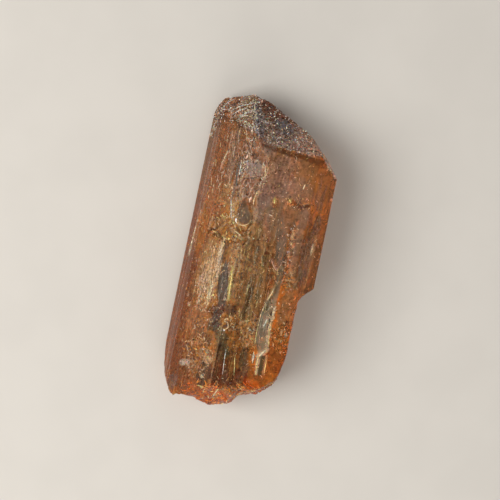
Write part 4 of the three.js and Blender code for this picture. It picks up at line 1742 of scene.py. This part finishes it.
THREADS = (
    Thread(Tone.WHITE, 0.075, ((-0.5, -8.9), (-0.45, -10.0), (-0.35, -11.3))),
    Thread(Tone.YELLOW, 0.09, ((0.42, -9.2), (0.55, -10.2), (0.72, -11.2))),
    # painted highlights: threads along the highlight streaks on the left and right narrow faces
    Thread(Tone.PALE, 0.11, ((-5.72, 1.6), (-5.8, 0.4), (-5.88, -1.1))),
    Thread(Tone.PALE, 0.10, ((5.38, 2.2), (5.32, 1.3))),
    # painted highlights: pale, white and yellow threads along the lens's edges, on its inner light and on the
    # light at its foot
    Thread(Tone.PALE, 0.10, ((2.66, -2.6), (2.5, -3.2), (2.3, -3.75))),
    Thread(Tone.CREAM, 0.09, ((2.2, -3.9), (1.98, -5.0), (1.94, -6.2))),
    Thread(Tone.YELLOW, 0.08, ((1.94, -6.3), (1.95, -7.3), (2.05, -8.4))),
    Thread(Tone.CREAM, 0.12, ((3.13, -4.2), (3.1, -5.2), (2.97, -6.1))),
    Thread(Tone.YELLOW, 0.12, ((3.0, -6.3), (3.15, -7.2), (3.28, -8.0))),
    Thread(Tone.WHITE, 0.16, ((2.62, -5.45), (2.55, -5.8), (2.45, -6.2))),
    Thread(Tone.PALE, 0.20, ((3.15, -8.25), (2.85, -8.6), (2.6, -9.0))),
    Thread(Tone.YELLOW, 0.12, ((2.57, -9.0), (2.56, -9.8), (2.67, -10.7))),
    Thread(Tone.YELLOW, 0.10, ((3.35, -8.9), (3.4, -10.5))),
    Thread(Tone.PALE, 0.09, ((2.05, -8.6), (2.15, -9.8))),
    Thread(Tone.WHITE, 0.22, ((-2.1, 3.15), (-2.1, 2.85), (-1.95, 2.6))),
    Thread(Tone.CREAM, 0.11, ((-1.9, 2.6), (-1.35, 2.5), (-0.85, 2.8), (-0.68, 3.2))),
    Thread(Tone.UMBER, 0.10, ((-1.85, 4.75), (-2.0, 3.9), (-2.1, 3.3))),
    Thread(Tone.GLOW, 0.14, ((-2.4, 4.3), (-2.2, 3.5))),
    Thread(Tone.WHITE, 0.11, ((-2.73, 8.45), (-2.7, 7.6), (-2.62, 6.9))),
    Thread(Tone.SLATE, 0.16, ((-2.95, 8.15), (-2.9, 7.0), (-2.65, 5.7))),
    Thread(Tone.WHITE, 0.10, ((-2.97, 4.8), (-2.75, 3.8), (-2.55, 2.9))),
    Thread(Tone.PINK, 0.06, ((-2.35, 8.3), (-1.6, 8.55), (-0.9, 8.7))),
    Thread(Tone.CREAM, 0.10, ((-0.45, 8.2), (-0.25, 7.6), (-0.25, 7.0))),
    Thread(Tone.PINK, 0.07, ((-1.95, 6.95), (-1.2, 7.2), (-0.5, 7.5))),
    Thread(Tone.UMBER, 0.10, ((-2.3, 6.8), (-1.5, 6.95), (-0.6, 7.3))),
    Thread(Tone.PINK, 0.07, ((-1.5, 6.7), (-1.8, 6.2), (-2.1, 5.7))),
    Thread(Tone.CREAM, 0.13, ((-0.72, 5.95), (-0.85, 5.2), (-0.8, 4.4))),
    Thread(Tone.PINK, 0.10, ((-1.0, 6.6), (-1.3, 5.9), (-1.4, 5.2))),
    Thread(Tone.CREAM, 0.09, ((-3.25, 11.3), (-2.7, 10.7), (-2.15, 10.0))),
    Thread(Tone.PINK, 0.07, ((-2.5, 9.65), (-2.1, 9.0), (-1.7, 8.4))),
    Thread(Tone.UMBER, 0.11, ((-2.9, 10.5), (-2.4, 9.9), (-2.1, 9.3))),
    Thread(Tone.UMBER, 0.12, ((-1.9, 9.05), (-1.65, 9.2), (-1.42, 9.0), (-1.6, 8.75))),
    Thread(Tone.PINK, 0.10, ((-3.05, 0.7), (-2.8, -0.3), (-2.78, -1.6), (-2.8, -2.8))),
    Thread(Tone.CREAM, 0.11, ((-3.02, -3.0), (-3.08, -4.2), (-3.1, -5.3))),
    Thread(Tone.UMBER, 0.12, ((-2.55, 0.6), (-2.6, -0.8), (-2.65, -2.6))),
    Thread(Tone.UMBER, 0.12, ((-1.75, -1.6), (-1.65, -3.2), (-1.45, -4.7))),
    Thread(Tone.YELLOW, 0.16, ((-1.45, -1.5), (-1.37, -2.6), (-1.24, -4.4))),
    Thread(Tone.PINK, 0.09, ((1.9, -0.1), (2.3, -0.7), (2.8, -1.1))),
    Thread(Tone.DARK_RED, 0.10, ((3.0, 5.6), (3.4, 5.25), (3.9, 5.3), (4.3, 5.55))),
    Thread(Tone.DARK_RED, 0.09, ((3.2, 5.9), (3.6, 5.5), (3.7, 4.9))),
    Thread(Tone.UMBER, 0.10, ((-4.3, 1.5), (-3.9, 1.8), (-3.3, 1.3), (-2.6, 0.6), (-2.5, 0.2))),
    Thread(Tone.CREAM, 0.18, ((-2.15, 2.0), (-1.7, 1.75), (-1.3, 1.5))),
    Thread(Tone.PEACH, 0.06, ((-3.8, 1.2), (-3.4, 1.9), (-2.9, 2.4), (-2.4, 2.1))),
    # painted glints: short bright threads on the golden upper right face
    Thread(Tone.PALE, 0.13, ((3.48, 7.45), (3.4, 6.95))),
    Thread(Tone.YELLOW, 0.20, ((1.0, 5.5), (1.08, 5.1))),
    Thread(Tone.WHITE, 0.13, ((1.02, 5.4), (1.06, 5.2))),
    Thread(Tone.YELLOW, 0.20, ((2.35, 5.75), (2.55, 5.5))),
    Thread(Tone.WHITE, 0.14, ((2.4, 5.7), (2.48, 5.58))),
    Thread(Tone.PALE, 0.11, ((0.8, 4.0), (1.1, 3.95))),
    Thread(Tone.WHITE, 0.10, ((-4.95, 12.8), (-4.0, 13.5), (-3.0, 14.0), (-2.2, 14.25))),
    Thread(Tone.WHITE, 0.10, ((-5.6, 13.2), (-5.2, 13.7), (-4.75, 14.1))),
    Thread(Tone.WHITE, 0.09, ((-4.6, 12.5), (-4.0, 13.1), (-3.2, 13.5))),
    Thread(Tone.WHITE, 0.09, ((-3.9, 12.2), (-3.4, 12.9), (-2.6, 13.4))),
    Thread(Tone.PALE, 0.09, ((-2.9, 12.1), (-2.4, 11.6), (-2.3, 11.1))),
    Thread(Tone.PINK, 0.08, ((-4.2, 11.0), (-3.9, 10.3))),
    Thread(Tone.CREAM, 0.10, ((-4.2, 9.2), (-4.5, 7.9))),
    Thread(Tone.CREAM, 0.08, ((-5.1, 4.8), (-5.1, 4.4))),
    Thread(Tone.PEACH, 0.16, ((-3.85, 5.95), (-3.6, 5.85))),
    Thread(Tone.PEACH, 0.15, ((-3.2, 5.85), (-3.0, 5.7))),
    Thread(Tone.WHITE, 0.13, ((5.3, 9.75), (5.8, 9.4), (6.15, 9.0))),
    Thread(Tone.CREAM, 0.12,
        ((-1.3, -6.7), (-1.15, -6.45), (-0.8, -6.6), (-0.75, -7.0), (-1.0, -7.2), (-1.3, -7.1))),
    Thread(Tone.WHITE, 0.16, ((-1.15, -7.25), (-0.95, -7.3))),
    Thread(Tone.YELLOW, 0.13, ((1.25, -13.5), (1.7, -13.0), (2.7, -12.4), (3.85, -11.85), (4.6, -11.4))),
    Thread(Tone.PALE, 0.11, ((-0.51, -12.9), (-0.82, -13.7))),
    Thread(Tone.FROST, 0.10, ((-4.74, -14.35), (-3.62, -14.35))),
)

TANGLES = (
    Tangle(tones("CREAM UMBER PALE DARK_BROWN AMBER UMBER"), at=(-0.6, -1.5), size=(9.6, 24.0), count=520,
        length=0.1, width=0.085),
    Tangle(tones("UMBER CREAM BROWN PINK UMBER RUST"), at=(0.0, -1.0), size=(13.0, 24.0), count=900,
        length=0.22, spread=40, width=0.045),
    Tangle(tones("FROST PINK DARK_BROWN UMBER"), at=(-4.2, 13.2), size=(4.0, 3.0), count=80, length=0.9,
        lean=55, spread=35, width=0.06),
    Tangle(tones("CREAM UMBER PALE BROWN"), at=(-3.1, 13.0), size=(1.9, 3.0), count=170, length=0.3),
    Tangle(tones("WHITE CREAM"), at=(5.7, 9.45), size=(1.5, 0.9), count=30, length=0.2),
    Tangle(tones("FROST CREAM UMBER"), at=(-6.1, 11.6), size=(0.6, 2.8), count=40, length=0.2, width=0.06),
    Tangle(tones("FROST ASH PALE UMBER"), at=(1.0, 12.1), size=(7.0, 4.4), count=220, length=0.18,
        width=0.055),
    Tangle(tones("PINK ROSE UMBER DARK_BROWN ROSE BROWN PINK"), at=(-1.6, 6.2), size=(2.2, 3.6), count=90,
        length=0.5, lean=-10, spread=30),
    Tangle(tones("CREAM GLOW UMBER YELLOW RUST"), at=(-2.6, 1.9), size=(3.6, 2.6), count=90, length=0.35),
    Tangle(tones("PINK ROSE UMBER PINK BROWN"), at=(-2.2, 9.8), size=(1.7, 3.4), count=90, length=0.5,
        lean=-40, spread=30, width=0.055),
    Tangle(tones("ROSE BROWN PINK DARK_BROWN"), at=(-3.6, 8.6), size=(0.9, 6.5), count=24, length=0.9,
        lean=-3, spread=6, width=0.06, curl=0.05),
    Tangle(tones("CREAM UMBER GOLD"), at=(-1.6, 0.0), size=(1.6, 3.4), count=45, length=0.22),
    Tangle(tones("CREAM CREAM UMBER RUST"), at=(-3.5, -3.0), size=(2.2, 6.8), count=110, length=0.5, lean=-4,
        spread=8, width=0.06),
    Tangle(tones("GOLD MOSS_DARK OLIVE GLOW YELLOW MOSS_DARK LICHEN"), at=(0.6, -2.0), size=(4.8, 12.0),
        count=160, length=0.8, spread=6, width=0.055, curl=0.05),
    Tangle(tones("UMBER CREAM WHITE UMBER"), at=(3.4, 1.2), size=(1.0, 4.8), count=80, length=0.2,
        width=0.06),
    Tangle(tones("WHITE FROST CREAM UMBER"), at=(-2.25, 11.9), size=(0.6, 3.4), count=55, length=0.15,
        lean=-25),
    Tangle(tones("UMBER DARK_RED CREAM RUST UMBER"), at=(3.6, 5.4), size=(1.7, 1.0), count=30, length=0.25,
        width=0.06),
    Tangle(tones("YELLOW GLOW RUST CREAM"), at=(-2.9, 2.7), size=(1.6, 0.8), count=28, length=0.2),
    Tangle(tones("WHITE PINK FROST"), at=(-0.4, 10.8), size=(0.9, 1.1), count=18, length=0.15),
    Tangle(tones("WHITE PINK PALE UMBER"), at=(-2.35, 7.7), size=(0.6, 1.7), count=20, length=0.35, spread=30,
        width=0.09),
    Tangle(tones("CREAM PINK ROSE"), at=(-0.4, 7.6), size=(0.5, 1.4), count=9, length=0.35, spread=30,
        width=0.09),
    Tangle(tones("BRONZE UMBER CREAM GOLD"), at=(4.2, -1.5), size=(2.2, 1.8), count=45, length=0.25),
    Tangle(tones("RUST CREAM GLOW DARK_RED UMBER"), at=(-0.9, -6.7), size=(1.5, 1.6), count=50, length=0.3),
    Tangle(tones("GLOW CREAM RUST UMBER"), at=(0.7, -7.2), size=(1.8, 2.8), count=45, length=0.3),
    Tangle(tones("CREAM PALE YELLOW"), at=(3.1, -6.4), size=(0.5, 4.0), count=30, length=0.35, spread=12),
    Tangle(tones("FLINT UMBER SLATE STONE BRONZE"), at=(-1.95, -3.2), size=(1.0, 3.6), count=45, length=0.7,
        lean=3, spread=4, width=0.06, curl=0.05),
    Tangle(tones("DARK_RED UMBER UMBER PINK"), at=(-2.0, -5.7), size=(1.5, 1.2), count=45, length=0.3),
    Tangle(tones("FIRE EMBER RUST DARK_RED YELLOW FIRE"), at=(2.9, -12.5), size=(3.8, 1.2), count=70,
        length=0.7, lean=-65, spread=14, width=0.08, curl=0.1),
    Tangle(tones("PINK RUST UMBER"), at=(-3.6, -7.2), size=(2.2, 3.0), count=40, length=0.3, spread=30),
    Tangle(tones("CREAM TAN TAN BROWN"), at=(-2.85, -1.4), size=(0.55, 3.8), count=80, length=0.7, spread=3,
        width=0.10, curl=0.03),
    Tangle(tones("CREAM AMBER CREAM BROWN"), at=(-3.08, -4.2), size=(0.35, 2.4), count=44, length=0.6,
        spread=3, width=0.10, curl=0.03),
    Tangle(tones("TAN BROWN PINK"), at=(-3.95, -4.0), size=(0.8, 3.6), count=60, length=0.5, spread=5,
        width=0.08, curl=0.05),
    Tangle(tones("TAN AMBER TAN BROWN"), at=(-3.45, -2.3), size=(0.9, 4.4), count=90, length=0.55, spread=4,
        width=0.08, curl=0.04),
    Tangle(tones("MOSS_DARK UMBER DARK_RED MOSS_DARK"), at=(-2.05, -6.7), size=(0.8, 1.8), count=60,
        length=0.45, lean=15, spread=15, width=0.10, curl=0.1),
    Tangle(tones("BROWN BROWN DARK_BROWN DARK_BROWN"), at=(5.0, 2.4), size=(1.5, 10.0), count=110, length=1.3,
        spread=3, width=0.06, curl=0.03),
    Tangle(tones("STEEL FLINT BRONZE TEAL"), at=(2.45, -6.2), size=(0.9, 4.4), count=36, length=0.9, lean=-4,
        spread=4, width=0.05, curl=0.03),
    Tangle(tones("PINK ROSE SLATE ROSE"), at=(-2.5, 6.8), size=(0.6, 4.0), count=40, length=0.4, lean=-4,
        spread=22),
    Tangle(tones("PINK ROSE UMBER PALE"), at=(-0.5, 7.4), size=(0.8, 3.0), count=30, length=0.4, lean=-20,
        spread=25),
    Tangle(tones("CREAM GOLD RUST UMBER"), at=(1.5, -6.4), size=(1.0, 2.4), count=32, length=0.3),
    Tangle(tones("GLOW CREAM UMBER"), at=(4.3, -7.2), size=(1.4, 3.4), count=40, length=0.25, spread=60),
    Tangle(tones("PEACH EMBER UMBER RUST PEACH DARK_RED"), at=(-3.0, -10.2), size=(2.8, 3.7), count=170,
        length=0.45, width=0.06, curl=0.9),
    Tangle(tones("FIRE FLAME FIRE DARK_RED FLAME EMBER FLAME UMBER YELLOW"), at=(0.7, -13.6), size=(9.6, 2.8),
        count=330, length=0.4, lean=70, spread=60, width=0.09),
    Tangle(tones("RUST PINK UMBER"), at=(-5.3, -1.0), size=(1.6, 25.0), count=70, length=0.3, spread=8,
        width=0.05, curl=0.05),
    Tangle(tones("PINK CREAM UMBER UMBER"), at=(-4.0, 7.5), size=(2.6, 7.4), count=60, length=0.6, lean=-3,
        spread=8, width=0.05, curl=0.1),
    Tangle(tones("UMBER PINK UMBER"), at=(4.8, 4.0), size=(1.4, 10.0), count=50, length=0.18, spread=40,
        width=0.05),
    Tangle(tones("YELLOW UMBER PINK GOLD"), at=(2.4, 7.4), size=(4.4, 5.0), count=80, length=0.18,
        width=0.05),
)


@dataclass
class Threads:
    """Every thread, as one mesh laid on the crystal's upper side."""

    threads: tuple[Thread, ...] = THREADS
    tangles: tuple[Tangle, ...] = TANGLES
    step_mm: float = 0.10
    largest_drop_mm: float = 0.3
    least_facing: float = 0.3
    above_mm: float = 20.0
    sunk: float = 0.3
    least_taper: float = 0.3
    taper_power: float = 0.5
    seed: int = 21
    crowding: float = 0.6
    parts: int = 4
    length_spread: Range = (0.4, 1.6)
    width_spread: Range = (0.7, 1.4)
    sides: int = 4
    sizes: dict[str, float] = field(default_factory=lambda: {"Waviness": 0.10, "Wave Mm": 0.35})

    def dealt(self) -> list[Thread]:
        """Deals the threads of the tangles.

        Returns:
            The threads.
        """
        chance = np.random.default_rng(self.seed)
        made = []
        for tangle in self.tangles:
            for index in range(tangle.count):
                out, turn = chance.random() ** self.crowding, chance.random() * math.tau
                across = tangle.at[0] + out * math.cos(turn) * tangle.size[0] / 2
                along = tangle.at[1] + out * math.sin(turn) * tangle.size[1] / 2
                heading = math.radians(tangle.lean + chance.uniform(-1, 1) * tangle.spread)
                bend = chance.uniform(-1, 1) * tangle.curl
                part = tangle.length * chance.uniform(*self.length_spread) / self.parts
                run = [(across, along)]
                for _ in range(self.parts):
                    heading += bend
                    across, along = across + math.sin(heading) * part, along + math.cos(heading) * part
                    run.append((across, along))
                tone = tangle.tones[index % len(tangle.tones)]
                made.append(Thread(tone, tangle.width * chance.uniform(*self.width_spread), tuple(run)))
        return made

    def places(self, thread: Thread) -> list[Place]:
        """Finds places along a thread, a step apart.

        Args:
            thread: the thread.

        Returns:
            The places.
        """
        places = [thread.run[0]]
        for (u0, v0), (u1, v1) in zip(thread.run, thread.run[1:]):
            parts = max(1, round(math.hypot(u1 - u0, v1 - v0) / self.step_mm))
            for n in range(1, parts + 1):
                places.append((u0 + (u1 - u0) * n / parts, v0 + (v1 - v0) * n / parts))
        return places

    def lines(self, body: Mesh) -> Mesh:
        """Lays the threads' middle lines on the body.

        Args:
            body: the body's mesh.

        Returns:
            The lines, with a radius and a tone at each point.
        """
        work = bmesh.new()
        work.from_mesh(body)
        skin = BVHTree.FromBMesh(work)
        work.free()
        points, edges, radii, colours = [], [], [], []
        middle, axis = Vector((0.0, 0.0, MID_HEIGHT_MM)), Vector(AXIS)
        for thread in (*self.threads, *self.dealt()):
            places, last = self.places(thread), None
            for index, (across, along) in enumerate(places):
                above = middle + ACROSS * across + axis * along + FRONT * self.above_mm
                hit, normal, _, _ = skin.ray_cast(above, -FRONT)
                if hit is None or normal.dot(FRONT) < self.least_facing:
                    last = None
                    continue
                taper = math.sin(math.pi * (index + 0.5) / len(places)) ** self.taper_power
                radius = thread.width / 2 * max(self.least_taper, taper)
                if last is not None and (hit - last).length < self.largest_drop_mm:
                    edges.append((len(points) - 1, len(points)))
                points.append(hit - normal * radius * self.sunk)
                radii.append(radius)
                colours += (*thread.tone.value, 1.0)
                last = hit
        mesh = bpy.data.meshes.new("thread_lines")
        mesh.from_pydata(points, edges, [])
        mesh.attributes.new("radius", "FLOAT", "POINT").data.foreach_set("value", radii)
        mesh.attributes.new("tone", "FLOAT_COLOR", "POINT").data.foreach_set("color", colours)
        return mesh

    def tree(self, material: Material) -> ShapeTree:
        """Makes the tree that makes the lines uneven and gives them their thickness.

        Args:
            material: what they are made of.

        Returns:
            The tree.
        """
        tree = ShapeTree("threads")
        waviness, wave = tree.number("Waviness"), tree.number("Wave Mm")
        shift = tree.knock(tree.math("DIVIDE", 1.0, wave), waviness)
        uneven = tree.add("GeometryNodeSetPosition", Geometry=tree.geometry, Offset=shift)
        curve = tree.add("GeometryNodeMeshToCurve", Mesh=uneven).outputs[0]
        ring = tree.add("GeometryNodeCurvePrimitiveCircle", Resolution=self.sides, Radius=1.0).outputs[0]
        solid = tree.add(
            "GeometryNodeCurveToMesh",
            Curve=curve,
            Profile_Curve=ring,
            Scale=tree.noted("radius"),
            Fill_Caps=True,
        ).outputs[0]
        tree.end(tree.add("GeometryNodeSetShadeSmooth", Geometry=solid), material)
        return tree

    def build(self, body: Mesh) -> Mesh:
        """Makes them all.

        Args:
            body: the body's mesh.

        Returns:
            One mesh, in millimetres.
        """
        piece = in_scene("threads", self.lines(body))
        return self.tree(ThreadFinish().material()).apply(piece, self.sizes)


# ---- Studio ----


@dataclass(frozen=True)
class Lamp:
    """A square soft light that faces the crystal."""

    name: str
    place: tuple[float, float, float]
    size: float
    watts: float
    colour: Colour

    def build(self) -> None:
        """Makes the light."""
        data = bpy.data.lights.new(self.name, "AREA")
        data.shape = "SQUARE"
        data.size = self.size
        data.energy = self.watts
        data.color = self.colour
        lamp = in_scene(self.name, data)
        lamp.location = self.place
        lamp.rotation_mode = "QUATERNION"
        lamp.rotation_quaternion = Vector(self.place).to_track_quat("Z", "Y")


@dataclass
class Studio:
    """A pale floor, soft lights, and a camera that looks down on the crystal."""

    lens_mm: float = 120.0
    frame_mm: float = 47.25
    roll_deg: float = 12.0
    aim_mm: Place = (-0.25, 0.44)
    nearest_seen: float = 0.01
    floor_gap_mm: float = 0.03
    floor_half: float = 0.6
    floor_colour: Colour = (0.64, 0.625, 0.60)
    floor_roughness: float = 0.8
    floor_mottle: Pattern = Pattern(0.15, 2.0, 0.5)
    floor_shade: Range = (0.97, 1.0)
    sky: float = 0.28
    sky_colour: Colour = (1.0, 0.95, 0.89)
    lamps: tuple[Lamp, ...] = (
        Lamp("key", (-0.22, -0.06, 0.24), size=0.23, watts=1.12, colour=(1.0, 0.96, 0.90)),
        Lamp("fill", (0.06, -0.28, 0.13), size=0.30, watts=0.55, colour=(1.0, 0.94, 0.86)),
    )

    def camera(self) -> None:
        """Places the camera, turned so that the crystal's top leans to the right."""
        data = bpy.data.cameras.new("camera")
        data.lens = self.lens_mm
        data.clip_start = self.nearest_seen
        cam = in_scene("camera", data)
        roll = math.radians(self.roll_deg)
        axis = Vector(AXIS)
        up = axis * math.cos(roll) - ACROSS * math.sin(roll)
        right = ACROSS * math.cos(roll) + axis * math.sin(roll)
        distance = self.frame_mm * MM * self.lens_mm / data.sensor_width
        basis = Matrix((right, up, FRONT)).transposed().to_4x4()
        aim = Vector((0, 0, MID_HEIGHT_MM)) + ACROSS * self.aim_mm[0] + axis * self.aim_mm[1]
        basis.translation = aim * MM + FRONT * distance
        cam.matrix_world = basis
        bpy.context.scene.camera = cam

    def floor(self) -> None:
        """A pale sheet under the crystal."""
        mesh = bpy.data.meshes.new("floor")
        half, z = self.floor_half, -self.floor_gap_mm * MM
        corners = [(-half, -half, z), (half, -half, z), (half, half, z), (-half, half, z)]
        mesh.from_pydata(corners, [], [(0, 1, 2, 3)])
        tree = MaterialTree("pale_floor")
        shade = tree.step(self.floor_mottle.value(tree), *NOISE_SPAN, *self.floor_shade)
        tone = tree.scaled((*self.floor_colour, 1.0), shade)
        shader = tree.add("ShaderNodeBsdfPrincipled", Base_Color=tone, Roughness=self.floor_roughness)
        mesh.materials.append(tree.finish(shader))
        in_scene("floor", mesh)

    def build(self) -> None:
        """Makes the whole studio."""
        self.camera()
        self.floor()
        bpy.context.scene.view_settings.view_transform = "Standard"
        world = bpy.data.worlds.new("studio")
        bpy.context.scene.world = world
        world.use_nodes = True
        background = world.node_tree.nodes["Background"].inputs
        background["Strength"].default_value = self.sky
        background["Color"].default_value = (*self.sky_colour, 1.0)
        for lamp in self.lamps:
            lamp.build()


def main() -> None:
    """Builds every piece in order."""
    logging.basicConfig(level=logging.INFO, format="%(message)s")
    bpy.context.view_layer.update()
    Studio().build()
    body = Crystal().build(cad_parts[NODE], TopazFinish().material())
    for strewn in STREWN:
        placed(strewn.name, strewn.build(body))
    placed("threads", Threads().build(body))
    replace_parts(placed("topaz_body", body), NODE)


if __name__ == "__main__":
    main()
